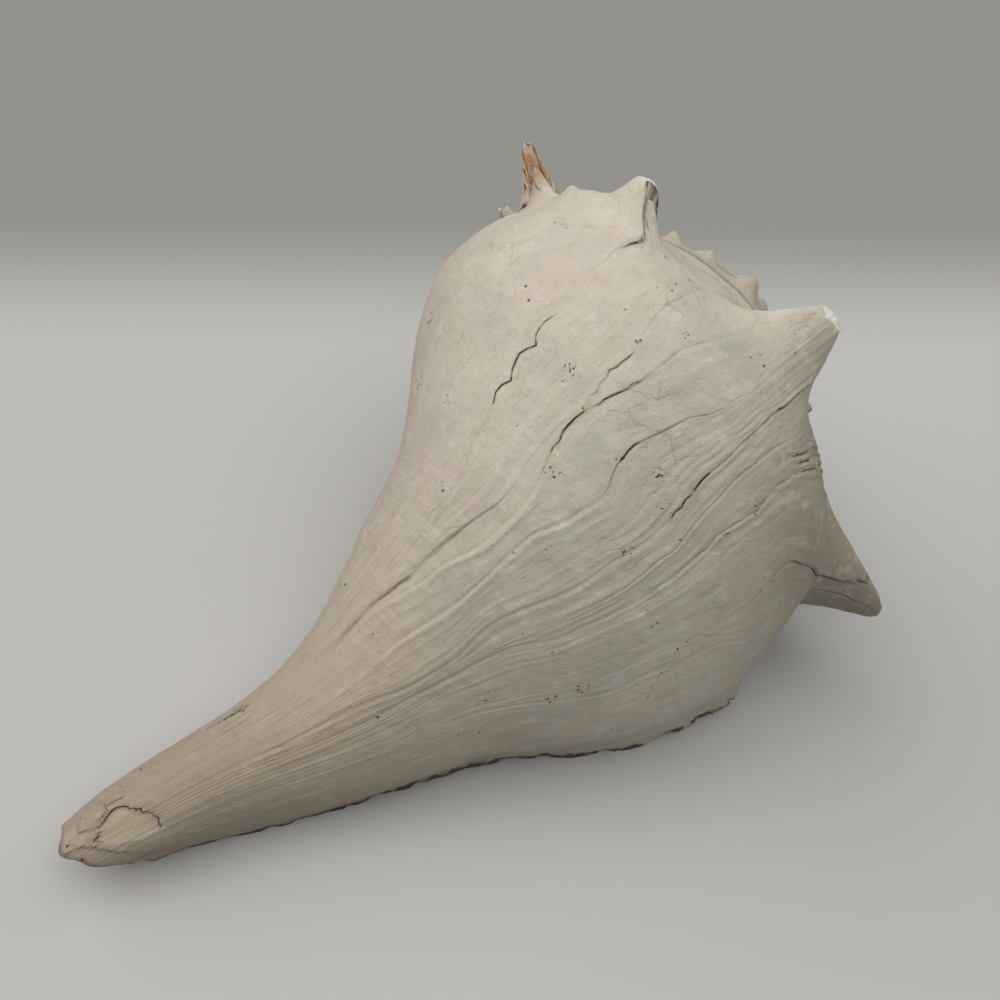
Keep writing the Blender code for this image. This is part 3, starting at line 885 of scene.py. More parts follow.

# %% [markdown]
# ## Relief: ridges, steps and cracks
#
# Now the marks that the growth lines left. Close to each line the surface has a groove, a ridge
# on the younger side, or a step where the old lip stands proud. How strong each is changes along
# its length, so each mark has a stretch over which it comes in and fades out.
# A crack is far thinner than the mesh can show. So each point also keeps its distance to the
# nearest crack, in millimetres, and the material draws the thin dark line where that crosses 0.
# A record keeps both numbers and every dark mark: dirt in cracks, and painted shade in creases,
# under edges and along the lip.

# %% Marks along the growth lines
MARKS = (  # line, groove mm, ridge mm, step mm, width mm, start, full, hold, end, dark
    ("lip_line", 0.50, 0.50, 0.25, 0.9, 0.16, 0.21, 0.32, 0.42, 0.50),
    ("lip_line", 0.10, 0.20, 0.00, 0.9, 0.40, 0.50, 0.62, 0.72, 0.10),
    ("lip_fold", 1.50, 0.40, 0.75, 0.8, 0.145, 0.175, 0.28, 0.33, 1.00),
    ("lip_fold", 0.42, 0.36, 0.35, 0.9, 0.27, 0.33, 0.40, 0.48, 0.40),
    ("pleat", 0.34, 0.27, 0.00, 0.7, 0.15, 0.22, 0.46, 0.60, 0.45),
    ("pleat", 0.12, 0.20, 0.15, 1.3, 0.42, 0.52, 0.75, 0.88, 0.05),
    ("white_line", 0.26, 0.25, 0.10, 0.6, 0.18, 0.28, 0.52, 0.62, 0.30),
    ("big_ridge", 0.48, 0.38, 0.30, 0.6, 0.16, 0.20, 0.43, 0.50, 0.30),
    # Below the big blunt spine this line is fully dark: painted shadow under the spine's edge.
    ("big_ridge", 0.80, 0.10, 0.20, 0.5, 0.15, 0.17, 0.22, 0.30, 1.00),
    ("big_ridge", 0.35, 0.10, 0.10, 0.4, 0.405, 0.42, 0.462, 0.476, 0.95),
    ("big_ridge", 0.15, 0.28, 0.30, 1.2, 0.44, 0.52, 0.80, 0.92, 0.12),
    ("notch_crack", 0.20, 0.12, 0.22, 0.5, 0.30, 0.39, 0.49, 0.51, 0.30),
    ("notch_crack", 0.20, 0.00, 0.10, 0.3, 0.44, 0.455, 0.49, 0.50, 0.80),
    ("notch_crack", 0.15, 0.30, 0.00, 1.2, 0.49, 0.54, 0.70, 0.85, 0.05),
    ("long_crack", 0.18, 0.15, 0.12, 0.6, 0.19, 0.26, 0.36, 0.42, 0.30),
    ("long_crack", 0.30, 0.18, 0.25, 0.3, 0.37, 0.42, 0.51, 0.55, 0.90),
    ("long_crack", 0.18, 0.32, -0.15, 1.1, 0.50, 0.56, 0.80, 0.92, 0.12),
    ("crease", 0.12, 0.25, 0.10, 0.8, 0.15, 0.20, 0.34, 0.40, 0.10),
    ("crease", 0.18, 0.05, 0.00, 0.4, 0.36, 0.40, 0.455, 0.475, 0.55),
    ("crease", 0.45, 0.12, 0.35, 0.8, 0.54, 0.59, 0.70, 0.80, 0.35),
    ("old_lip", 0.40, 0.00, 0.60, 0.4, 0.110, 0.130, 0.200, 0.262, 0.95),
    ("old_lip", 0.03, 0.00, 0.14, 0.6, 0.230, 0.270, 0.330, 0.420, 0.12),
    ("old_lip", 0.30, 0.00, 0.12, 0.25, 0.41, 0.425, 0.515, 0.525, 0.90),
    ("tall_spine", 0.40, 0.00, 0.35, 0.4, 0.115, 0.135, 0.205, 0.240, 0.95),
    ("tall_spine", 0.05, 0.15, 0.15, 1.4, 0.20, 0.30, 0.60, 0.90, 0.00),
    ("left_side", 0.30, 0.00, 0.20, 0.4, 0.125, 0.14, 0.17, 0.19, 0.50),
)
STEP_FADE = 8.0          # a step fades over this many of its own widths
CRACK_REACH = 0.9        # mm on each side of a crack over which its darkness is kept
CRACK_WOBBLE = 0.45      # mm that a dark crack wanders from its growth line
NO_CRACK = 5.0           # mm, stored where there is none near


class DirtAndShade:
    """Nearest dark line and its darkness: dirt in cracks, and painted shade in creases."""

    def __init__(self, shape):
        self.distance, self.darkness = np.full(shape, NO_CRACK), np.zeros(shape)

    def add(self, distance, darkness):
        """A new crack counts wherever it is darker than the ones before it."""
        self.distance = np.where(darkness > self.darkness, distance, self.distance)
        self.darkness = np.maximum(self.darkness, darkness)


def marks(turn, along, pace, dirt_and_shade):
    """Height in mm of the marks along the growth lines, whose dark lines are recorded too."""
    height, around = np.zeros(turn.shape), girth(turn, along)
    for name, groove, ridge, step, width, start, full, hold, end, dark in MARKS:
        seed = sum(map(ord, name))
        away = (turn - through(GROWTH_LINES[name], along)) * around
        away = away + CRACK_WOBBLE * (dark > 0.3) * wobble(along, 0.019, seed + 1, 3)
        strength = between(start, full, hold, end, along)
        uneven = 1.0 + 0.40 * wobble(along, 0.055, seed, 4)
        stand = step * np.tanh(away / (0.45 * width)) * np.exp(-np.abs(away) / (STEP_FADE * width))
        shape = stand - groove * bell(away, 0.45 * width) + ridge * bell(away + width, 0.8 * width)
        height += strength * uneven * shape
        true_away = away * pace / around
        darkness = dark * strength * np.clip(uneven, 0.2, 1.3) * bell(true_away, CRACK_REACH)
        dirt_and_shade.add(true_away, darkness)
    return height


print(len(MARKS), "marks on", len({mark[0] for mark in MARKS}), "growth lines")

# %% [markdown]
# ## The flaked tip, the split canal and the pleats
#
# A few marks aren't growth lines. At the tip of the canal thin layers have flaked off and show
# older, tan shell below. Higher up, the canal wall has split and a sliver stands up. Tight pleats
# gather between two of the spines, with painted shade in their creases, and a dark line along the
# broken edge of the lip is a painted shadow. Each is a small sum of its own in the same flat sheet.

# %% Patches and the split
OUTLINE_MM = 290.0       # millimetres along the outline from 0 to 1
TIP_GIRTH = 112.0        # millimetres in one turn near the canal tip
PATCHES = (  # height in mm, dark, and the outline as (turn, along); the first is the bare one
    (-1.00, 1.0, ((0.384, 0.976), (0.420, 0.966), (0.455, 0.953), (0.444, 0.944), (0.395, 0.937),
                  (0.344, 0.933), (0.294, 0.940), (0.290, 0.955), (0.320, 0.966), (0.350, 0.974))),
    (0.60, 0.50, ((0.460, 0.955), (0.505, 0.953), (0.530, 0.966), (0.500, 0.978), (0.450, 0.980),
                  (0.430, 0.968))),
    (-0.60, 0.50, ((0.150, 0.975), (0.230, 0.972), (0.330, 0.979), (0.400, 0.984), (0.440, 1.020),
                   (0.150, 1.020))),
    (0.55, 0.42, ((0.470, 0.940), (0.520, 0.938), (0.560, 0.950), (0.545, 0.962), (0.500, 0.958),
                  (0.475, 0.950))),
)
SPLIT = ((0.820, 0.503), (0.832, 0.504), (0.848, 0.516), (0.862, 0.528), (0.875, 0.533))


def patch_depth(x, y, corners):
    """Distance in from the closed outline of a patch, negative outside it."""
    nearest, within = np.full(x.shape, 1e9), np.zeros(x.shape, bool)
    for (ax, ay), (bx, by) in zip(corners, corners[1:] + corners[:1]):
        dx, dy = bx - ax, by - ay
        t = np.clip(((x - ax) * dx + (y - ay) * dy) / (dx * dx + dy * dy), 0, 1)
        nearest = np.minimum(nearest, np.hypot(x - ax - t * dx, y - ay - t * dy))
        crosses = (ay > y) != (by > y)
        within ^= crosses & (x < ax + (y - ay) * dx / (dy if dy else 1e-9))
    return np.where(within, nearest, -nearest)


print(len(PATCHES), "patches and the split are drawn")

# %% [markdown]
# ## Adding the local damage
#
# Every kind of damage adds its height and its dark lines in turn. Pleats and threads are waves
# over the age of the shell, so they follow the growth lines and only show inside a soft window.

# %% Local damage
PLEAT_AGE, PLEAT_LEAN, PLEAT_PITCH = 0.190, 0.064, 0.0040   # ages; lean is age per step along
THREAD_AGE, THREAD_PITCH = 0.2225, 0.0058


def local_damage(turn, along, age, dirt_and_shade):
    """Height in mm and where fresh shell shows; breaks and painted shade go into the dark lines."""
    height, around = np.zeros(turn.shape), girth(turn, along)
    across = turn * TIP_GIRTH + 0.35 * wobble(along * OUTLINE_MM, 5.0, 41)
    down = along * OUTLINE_MM + 0.35 * wobble(turn * TIP_GIRTH, 4.0, 43)
    for k, (lift, dark, corners) in enumerate(PATCHES):
        corners = tuple((a * TIP_GIRTH, b * OUTLINE_MM) for a, b in corners)
        depth = patch_depth(across, down, corners)
        sharp = ease(0.29, 0.36, turn + 2.0 * (0.955 - along)) if k == 0 else 1.0
        height += lift * ease(-0.2, 0.3, depth) * (0.3 + 0.7 * sharp)
        dirt_and_shade.add(1.5 * depth, dark * sharp * bell(depth, CRACK_REACH))
        if k == 0:
            bare = ease(-0.2, 0.5, depth)

    # The split: a dark gap with a sliver standing up beside it.
    away = (turn - through(SPLIT, along)) * around
    torn = between(0.818, 0.832, 0.860, 0.878, along)
    height += torn * (1.3 * bell(away - 0.9, 0.7) - 1.2 * bell(away, 0.45))
    dirt_and_shade.add(away, torn * bell(away, CRACK_REACH))

    # Pleats between two spines, fanning out below the shoulder, with painted shade in each crease.
    fan = (age - PLEAT_AGE - PLEAT_LEAN * (along - 0.16)) / PLEAT_PITCH
    fan = fan + 0.22 * wobble(along, 0.05, 51)
    pleated = between(0.110, 0.150, 0.235, 0.320, along) * between(-2.3, -1.7, 1.7, 2.3, fan)
    height -= 0.40 * pleated * np.cos(2 * np.pi * fan)
    crease = (fan - np.round(fan)) * 3.0
    dirt_and_shade.add(crease, 0.85 * ease(0.25, 0.7, pleated) * bell(crease, CRACK_REACH))

    # Fine parallel ridges that run down from the big blunt spine, with painted shade between them.
    bundle = between(0.17, 0.23, 0.44, 0.60, along) * between(0.204, 0.210, 0.234, 0.250, age)
    threads = (age - THREAD_AGE) / THREAD_PITCH + 0.5 * wobble(along, 0.16, 57)
    height += 0.20 * bundle * (np.abs(np.sin(np.pi * threads)) ** 0.7 - 0.6)
    between_threads = (threads - np.round(threads)) * THREAD_PITCH * around
    darkness = 0.22 * bundle * bell(between_threads, CRACK_REACH)
    dirt_and_shade.add(between_threads, darkness * ease(-0.3, 0.5, wobble(along, 0.05, 59)))

    # Painted shadow where the broken lip meets the table: a thin line that comes and goes.
    from_lip = turn * around
    darkness = bell(from_lip, 5.0) * ease(0.32, 0.40, along)
    darkness = darkness * (0.8 + 0.2 * ease(-0.5, 0.1, wobble(along, 0.05, 77)))
    dirt_and_shade.add((0.05 + 0.04 * ease(0.48, 0.56, along)) * from_lip, darkness)
    return height, bare


print("pleats are", round(PLEAT_PITCH * float(girth(0.19, 0.16)), 1), "mm apart at the shoulder")

# %% [markdown]
# ## Groups of pits
#
# Small animals have bored the shell here and there. The pits themselves are too fine for the
# mesh, so the points only carry how near the middle of a group they are.

# %% Groups of pits
SCARS = (  # turn, along, reach in mm: places where small pits have gathered
    (0.328, 0.175, 1.6), (0.317, 0.178, 1.2), (0.306, 0.182, 1.8), (0.296, 0.192, 1.4),
    (0.300, 0.374, 1.0), (0.284, 0.306, 1.6), (0.320, 0.452, 1.7), (0.324, 0.518, 1.4),
    (0.396, 0.534, 1.5), (0.289, 0.521, 1.6), (0.242, 0.453, 1.4), (0.219, 0.514, 1.2),
    (0.228, 0.469, 1.4), (0.195, 0.431, 1.0), (0.194, 0.388, 1.2), (0.186, 0.668, 1.4),
    (0.142, 0.602, 1.8), (0.145, 0.630, 1.6), (0.466, 0.483, 1.6), (0.460, 0.533, 2.0),
)


def scarred(turn, along):
    """1 in the middle of every gathering of pits, 0 away from them."""
    total, around = np.zeros(turn.shape), girth(turn, along)
    for at_turn, at_along, reach in SCARS:
        across, down = (turn - at_turn) * around, (along - at_along) * OUTLINE_MM
        total = np.maximum(total, np.exp(-(across**2 + down**2) / (1.5 * reach) ** 2))
    return total


print(len(SCARS), "groups of pits")

# %% [markdown]
# ## Ripple
#
# Between the strong marks the surface is never smooth: faint ribs run with the growth lines. A
# wobble that depends only on the age of the shell gives ribs that follow every growth line by
# themselves.

# %% Ripple along the growth lines
def ripple(age, along):
    """Height in mm of the faint ribs."""
    young = 1.0 - ease(0.30, 0.36, age)
    wide = wobble(age + 0.004 * wobble(along, 0.20, 61), 0.046, 63, 3)
    fine = wobble(age + 0.002 * wobble(along, 0.10, 67), 0.015, 69, 3)
    broad = wobble(age * 6.0 + 1.7 * along, 1.0, 71, 2)
    strength = 0.070 + 0.075 * young * between(0.18, 0.30, 0.65, 0.85, along)
    strength = strength * (1.0 - 0.75 * ease(0.62, 0.80, along))
    strength = strength * (0.35 + 0.65 * ease(0.13, 0.19, age))
    return strength * wide + 0.8 * strength * fine + 0.30 * broad * (1 - ease(0.90, 0.97, along))


print("ripple at three ages, mm:", np.round(ripple(np.array([0.1, 0.2, 0.3]), 0.6), 2).tolist())

# %% [markdown]
# ## Skinning the shell
#
# The shell has to be one closed surface: outside, rounded lip, inside of the mouth, the older
# whorl behind it, and the canal's end. `Skin` collects grids of points, joins neighbours with
# quads, and closes seams between lines of different length with triangles, like a zip.
# A voxel remesh could fuse loose sheets as well, but it would blur every crack.

# %% Skin
class Skin:
    """Collects points, faces and the values that each point carries."""
    TRAITS = "turn along age inside crack grime stain worn bare pitted free".split()

    def __init__(self):
        self.points, self.faces, self.count = [], [], 0
        self.traits = {label: [] for label in self.TRAITS}

    def add(self, points, **traits):
        """Store a block of points and return their numbers in the same layout."""
        shape = points.shape[:-1]
        self.points.append(points.reshape(-1, 3))
        for label in self.TRAITS:
            values = np.broadcast_to(np.asarray(traits.get(label, 0.0), float), shape)
            self.traits[label].append(values.ravel())
        numbers = np.arange(self.count, self.count + points[..., 0].size).reshape(shape)
        self.count += numbers.size
        return numbers

    def place(self):
        """Where every point that was added so far is."""
        return np.concatenate(self.points)

    def sheet(self, grid):
        """Quads between the rows and columns of a grid of point numbers."""
        quads = np.stack([grid[:-1, :-1], grid[1:, :-1], grid[1:, 1:], grid[:-1, 1:]], axis=-1)
        self.faces.extend(quads.reshape(-1, 4).tolist())

    def zip(self, left, left_at, right, right_at):
        """Triangles between two lines of points that have different counts."""
        i = j = 0
        while i < len(left) - 1 or j < len(right) - 1:
            left_next = j == len(right) - 1 or (i < len(left) - 1
                                                and left_at[i + 1] <= right_at[j + 1])
            if left_next:
                face = (left[i], left[i + 1], right[j])
                i += 1
            else:
                face = (left[i], right[j + 1], right[j])
                j += 1
            if len(set(face)) == 3:
                self.faces.append([int(k) for k in face])


def spread(points):
    """Share of the way along a line of points, 0 to 1."""
    total = np.concatenate([[0.0], np.cumsum(np.linalg.norm(np.diff(points, axis=0), axis=1))])
    return total / total[-1]


skin = Skin()
print("skin is empty:", skin.count, "points")

# %% [markdown]
# ## Worn tips and stained cups
#
# The tips of the spines have rubbed to bare white, brown dirt has gathered inside the cups, and a
# crack runs down each side of a tongue. All three are read from the shape of the spine.

# %% Wear and stain of the spines
TONGUE_SEAM = 0.44       # where the cracks beside a tongue are, in widths of the spine
CUP_STAINS = {"tall_spine": 0.85, "old_lip": 0.15}   # how brown each cup is


def spine_colours(turn, along, dirt_and_shade):
    """Worn tips and stained cups. The cracks beside the tongues are recorded as dark lines."""
    worn, stain = np.zeros(turn.shape), np.zeros(turn.shape)
    for spine in SPINES:
        shape, past, whole = spine_shape(turn, along, spine)
        if spine.point > 0:
            top = spine.cut - BLUNT_DEPTH + BLUNT_SLOPE * (1.0 + BLUNT_DEPTH - spine.cut)
            worn = np.maximum(worn, ease(top - 0.050, top - 0.015, shape))
        if spine.line is None:
            continue
        beside = (np.abs(along - SHOULDER) / spine.tall - TONGUE_SEAM) * spine.tall * OUTLINE_MM
        beside = beside + 0.5 * wobble(turn, 0.010, 83, 3)
        dark = 0.95 * (past > 0) * ease(0.14, 0.26, shape) * bell(beside, 1.6)
        dirt_and_shade.add(0.8 * beside, dark * (1.0 - ease(0.014, 0.026, spine.turn - turn)))
        hollow = ease(-0.0016, -0.0002, past) * (1.0 - 0.6 * ease(0.006, 0.022, past))
        hollow = hollow * ease(0.30, 0.60, whole)
        stain = stain + hollow * CUP_STAINS[spine.line]
        worn = worn * (1.0 - 0.8 * hollow)
    return worn, stain


print("stained cups:", CUP_STAINS)

# %% [markdown]
# ## The outside
#
# The last whorl is one big grid. The older whorls add only their ramps, because the rest of them
# is covered by the whorl that came after. Relief is added along the direction of the surface, and
# fades out where a sheet is joined to another, so that the joins stay closed. The fine strip at
# the lip has more rows than the rest, so it is zipped on.

# %% Outside of the last whorl and of the spire
def outside(turn, along, age):
    """Points of the outside with their relief, and the values that they carry."""
    points = outer(turn, along)
    direction, pace = outward(outer, turn, along, FINE_STEP)
    dirt_and_shade, spire = DirtAndShade(turn.shape), turn > 1.0
    height = marks(turn, along, pace, dirt_and_shade)
    broken, bare = local_damage(turn, along, age, dirt_and_shade)
    worn, stain = spine_colours(turn, along, dirt_and_shade)
    height = height + broken + ripple(age, along)
    height = np.where(spire, 0.3 * ripple(age * 0.4, along) * GROWTH ** (-turn), height)
    free = ease(0.0, 0.06, along) * (1.0 - ease(0.93, 0.99, turn) * (along > SUTURE))
    traits = dict(turn=turn, along=along, age=age, crack=dirt_and_shade.distance,
                  pitted=scarred(turn, along), free=free)
    for label, values in dict(grime=dirt_and_shade.darkness, stain=stain, worn=worn, bare=bare).items():
        traits[label] = values * ~spire
    return points + 0.001 * (height * free)[..., None] * direction, traits


def lay_outside(turn, along, age):
    """Add one grid of the outside to the skin."""
    points, traits = outside(turn, along, age)
    return skin.add(points, **traits)


body = lay_outside(BODY_TURN, BODY_ALONG, BODY_AGE)
skin.sheet(body)
rim = lay_outside(RIM_TURN, RIM_ALONG, RIM_AGE)
skin.sheet(rim)
skin.zip(rim[-1], RIM_ROWS, body[0], BODY_ALONG[0])

spire_turns = np.concatenate([k + 1 + np.arange(count) / count
                              for k, count in enumerate(SPIRE_COLUMNS)])[1:]
spire_turns = np.append(spire_turns, float(len(SPIRE_COLUMNS) + 1))
spire_turn, spire_along = np.meshgrid(spire_turns, ROWS[:RAMP], indexing="ij")
older = lay_outside(spire_turn, spire_along, spire_turn)
skin.sheet(np.vstack([body[-1:, :RAMP], older]))
print(f"outside: {body.size + older.size} points")

# %% [markdown]
# ## Suture and apex
#
# The foot of each whorl is joined to the whorl before it along the suture, and the first whorl is
# closed to a point, as the embryo shell was.

# %% Close the suture and the apex
foot = np.concatenate([rim[:, 0], body[:, 0], older[:, 0]])
foot_turns = np.concatenate([RIM_TURN[:, 0], BODY_TURN[:, 0], spire_turns])
crest = np.concatenate([body[-1:, RAMP - 1], older[:, RAMP - 1]])
crest_turns = np.concatenate([[1.0], spire_turns])
final = int(np.argmin(np.abs(foot_turns - (foot_turns[-1] - 1.0))))
skin.zip(foot[:final + 1], foot_turns[:final + 1] + 1.0, crest, crest_turns)

APEX_CAP = 0.0004        # metres that the embryo shell stands past the first whorl
apex = [COIL_SIZES["Apex across"], COIL_SIZES["Apex along"] + APEX_CAP, COIL_SIZES["Apex up"]]
tip = skin.add(np.array([apex]), turn=spire_turns[-1], age=spire_turns[-1])[0]
ring = list(foot[final:]) + list(older[-1, 1:]) + [foot[final]]
for a, b in zip(ring[:-1], ring[1:]):
    skin.faces.append([int(a), int(b), int(tip)])
print("suture and apex closed:", len(skin.faces), "faces so far")

# %% [markdown]
# ## Lip and mouth
#
# The lip is rounded from the outer edge to the inner one in a few steps. From there a sheet runs
# into the mouth along the inside of the wall, turns at a blind end deep inside, and comes out
# along the older whorl, which is also the floor of the open canal.

# %% The lip and the mouth
LIP_BULGE = 0.45         # how far the rounded edge stands out, in wall thicknesses
LIP_STEPS = 5
MOUTH_DEPTH = 0.46       # turns that the hollow runs in behind the lip
POCKET_COLUMNS = 22

at_lip = np.zeros_like(RIM_ROWS)
edge_out = skin.place()[rim[0]]
edge_in = inner(at_lip, RIM_ROWS)
edge_turn = grown(at_lip, RIM_ROWS)
forward = wind(edge_turn, RIM_ROWS) - wind(edge_turn + STEP, RIM_ROWS)
forward /= np.linalg.norm(forward, axis=1, keepdims=True)
bulge = LIP_BULGE * WALL * ease(0.0, 2 * CORNER, RIM_ROWS)[:, None]
centre, arm = (edge_out + edge_in) / 2, (edge_out - edge_in) / 2
rounded = []
for k in range(1, LIP_STEPS):
    swing = math.pi * k / LIP_STEPS
    rounded.append(centre + math.cos(swing) * arm + math.sin(swing) * bulge * forward)
rounded = np.array(rounded)
lip_inside = np.linspace(0, 1, LIP_STEPS + 1)[1:-1, None] * np.ones((1, len(RIM_ROWS)))
lip = np.vstack([
    rim[0],
    # The rounded edge darkens towards its inner side: painted shadow on the lip's underside.
    skin.add(rounded, along=RIM_ROWS[None], inside=lip_inside, grime=ease(0.1, 0.5, lip_inside)),
    skin.add(edge_in[None], along=RIM_ROWS[None], inside=1.0),
])
skin.sheet(lip)

depths = np.linspace(0.0, MOUTH_DEPTH, POCKET_COLUMNS + 1)[1:]
depth_in, row_in = np.meshgrid(depths, ROWS, indexing="ij")
depth_out, row_out = np.meshgrid(depths[::-1], ROWS, indexing="ij")
mouth = np.vstack([
    skin.add(inner(depth_in, row_in), turn=depth_in, along=row_in, inside=1.0),
    skin.add(older_wall(depth_out, row_out), turn=depth_out, along=row_out, inside=1.0),
])
skin.sheet(mouth)
skin.zip(lip[-1], RIM_ROWS, mouth[0], ROWS)


def join(left, right):
    """Zip two lines of points together by how far along them each point is."""
    place = skin.place()
    skin.zip(left, spread(place[left]), right, spread(place[right]))


join(body[-1, RAMP + 2:], mouth[-1])                               # the older whorl goes on inside
join(np.append(rim[:, -1], body[:, -1]),                           # the end of the canal
     np.concatenate([lip[:, -1], mouth[:, -1], body[-1:, -1]]))
join(lip[:, 0], np.append(rim[0, 0], body[-1, RAMP - 1:RAMP + 3]))   # the lip's foot at the suture
print(f"lip and mouth: {lip.size + mouth.size} points")

# %% [markdown]
# ## One closed mesh
#
# The pieces meet at shared places, so merging doubles closes every seam. Normals are worked out
# after that, so that they all agree. Blender guesses which side is out from the face that is
# furthest away, and on a curled edge that guess can be wrong. The volume settles it: it is below 0
# when a closed mesh is inside out, and then every face is turned round. The values that each point
# carries go along as attributes, and the material reads them later.

# %% Merge the sheets
MERGE_WITHIN, SHORTEST_EDGE = 1e-5, 1e-6   # metres


def build_mesh():
    """One closed mesh of all sheets, its faces outwards, and the number of open edges."""
    mesh = bpy.data.meshes.new("whelk")
    mesh.from_pydata(skin.place().tolist(), [], skin.faces)
    for label in Skin.TRAITS:
        store(mesh, label, np.concatenate(skin.traits[label]))
    bm = bmesh.new()
    bm.from_mesh(mesh)
    bmesh.ops.remove_doubles(bm, verts=bm.verts, dist=MERGE_WITHIN)
    bmesh.ops.dissolve_degenerate(bm, edges=bm.edges, dist=SHORTEST_EDGE)
    bmesh.ops.recalc_face_normals(bm, faces=bm.faces)
    if bm.calc_volume(signed=True) < 0.0:
        bmesh.ops.reverse_faces(bm, faces=bm.faces)
    print(f"volume {bm.calc_volume(signed=True) * 1e6:.0f} ml, above 0 as every face is outwards")
    open_edges = sum(not edge.is_manifold for edge in bm.edges)
    bm.to_mesh(mesh)
    bm.free()
    return mesh, open_edges


whelk_mesh, open_edges = build_mesh()
print(len(whelk_mesh.vertices), "points,", len(whelk_mesh.polygons), "faces,", open_edges,
      "edges that don't join exactly two faces")

# %% [markdown]
# ## The chalky material
#
# The shell is not one colour. It is warm cream, with patches that lean to pink and to grey-green,
# tan on the canal, and almost white where it is freshly worn. Dirt has stayed in the cracks, and
# shade is painted in creases, along the lip, on the left side, on the lip side and down the canal.
# Patches come from noise in the object's own space, streaks from noise stretched along the growth
# lines, and dirt, painted shade, stain and bare places from the values that the mesh carries.

# %% Colours, and how they are laid over one another
# The grey and dusk colours are partly the shell's own tones and partly painted shade; the dirt
# colour also paints shade in creases and a shadow along the lip.
CREAM, PINKISH, GREENISH = (0.640, 0.585, 0.490), (0.610, 0.535, 0.460), (0.530, 0.530, 0.455)
TAN, GREY_AND_SHADE, FRESH = (0.420, 0.350, 0.270), (0.385, 0.365, 0.310), (0.800, 0.785, 0.740)
BENEATH, DIRT_AND_SHADE, BROWN = (0.385, 0.333, 0.240), (0.045, 0.032, 0.022), (0.300, 0.215, 0.140)
STAIN, WITHIN, DUSK_TONE_AND_SHADE = (0.430, 0.220, 0.080), (0.660, 0.540, 0.420), (0.260, 0.215, 0.165)


def new_material(name):
    """A material with its node tree and its one shader."""
    material = bpy.data.materials.new(name)
    material.use_nodes = True
    return material, material.node_tree, material.node_tree.nodes["Principled BSDF"]


def attribute(tree, label):
    """A value that the mesh carries."""
    return Field(tree, add_node(tree, "ShaderNodeAttribute", attribute_name=label).outputs["Fac"])


def mixed(tree, share, low, high):
    """Blend two colours by a share from 0 to 1."""
    node = add_node(tree, "ShaderNodeMix", data_type="RGBA")
    feed(tree, node.inputs[0], share)
    for socket, colour in ((node.inputs[6], low), (node.inputs[7], high)):
        feed(tree, socket, colour + (1.0,) if isinstance(colour, tuple) else colour)
    return node.outputs[2]


def coats(tree, colour, *layers):
    """Paint layers of (share, colour) over one another, the first one lowest."""
    for share, paint in layers:
        colour = mixed(tree, share, colour, paint)
    return colour


def noise(tree, vector, scale, detail=4.0, rough=0.55):
    inputs = {"Vector": vector, "Scale": scale, "Detail": detail, "Roughness": rough}
    return Field(tree, add_node(tree, "ShaderNodeTexNoise", inputs).outputs[0])


print("colours run from fresh", FRESH, "to dirt", DIRT_AND_SHADE)

# %% [markdown]
# ## The chalk's colour, and painted shade
#
# Coats go on from the widest to the smallest: soft patches, then the broad shades of the canal
# and of the youngest shell, partly painted shade, then mottling and single grains.

# %% Tints
def shell_tints(tree, space, grown_way, turn, along, outside_only):
    """The chalk's colour with painted shade, and the two kinds of patches, which other marks are
    bent by.
    """
    patches = noise(tree, space, 24.0, 6.0, 0.65)
    other_patches = noise(tree, space, 44.0, 6.0, 0.65)
    streaks = noise(tree, grown_way, 1.6, 6.0, 0.65)
    colour = coats(tree, CREAM, (patches.eased(0.46, 0.64), PINKISH),
                   (other_patches.eased(0.48, 0.66) * 0.8, GREENISH))

    # The canal is tan on its older side. The last whorl is greyer towards the lip, partly its own
    # grey tone and partly painted shade of the lip side, and its youngest shell is a darker tone.
    # Its left side and the canal towards its tip are darker with painted shade.
    tan = along.eased(0.50, 0.80) * 0.92 + streaks.eased(0.48, 0.70) * along.eased(0.4, 0.7) * 0.25
    # Grey tone and painted shade of the lip side together.
    grey_and_shade = turn.eased(0.36, 0.16) * along.eased(-0.05, 0.26)
    grey_and_shade = grey_and_shade * (1.0 - along.eased(0.30, 0.45) * 0.40) * (streaks.eased(0.25, 0.65) * 0.4 + 0.6)
    youngest = turn.eased(0.25, 0.13) * along.eased(0.52, 0.30)
    # Painted shade on the left side of the whorl.
    left = turn.eased(0.36, 0.56) * (1.0 - along.eased(0.55, 0.75))
    colour = coats(tree, colour, (tan.call("MINIMUM", 1.0), TAN),
                   (grey_and_shade * 0.84 * outside_only, GREY_AND_SHADE),
                   (youngest * 0.74 * outside_only, DUSK_TONE_AND_SHADE),
                   (left * 0.42 * outside_only, DUSK_TONE_AND_SHADE),
                   # Painted shade that deepens down the canal towards its tip.
                   (along.eased(0.68, 0.92) * 0.60 * outside_only, DUSK_TONE_AND_SHADE))

    # Mottling and single grains. The pale mottling is weaker on the canal.
    mottle, grains = noise(tree, space, 150.0, 6.0, 0.7), noise(tree, space, 800.0, 3.0, 0.7)
    pale = mottle.eased(0.48, 0.34) * (0.20 - along.eased(0.6, 0.8) * 0.12)
    colour = coats(tree, colour, (mottle.eased(0.52, 0.68) * 0.20, TAN), (pale, FRESH),
                   (streaks.eased(0.42, 0.28) * 0.25, FRESH),
                   (grains.eased(0.56, 0.74) * 0.35, TAN))
    return colour, patches, other_patches


print("tints are ready")

# %% [markdown]
# ## Crackle, pinholes and fine relief
#
# A Voronoi texture that measures the distance to its cell edges gives a net of hairlines. One
# that measures the distance to its cell middles gives round holes. Noise switches both on only
# here and there. The relief is a height in metres, and a Bump node shades by it.

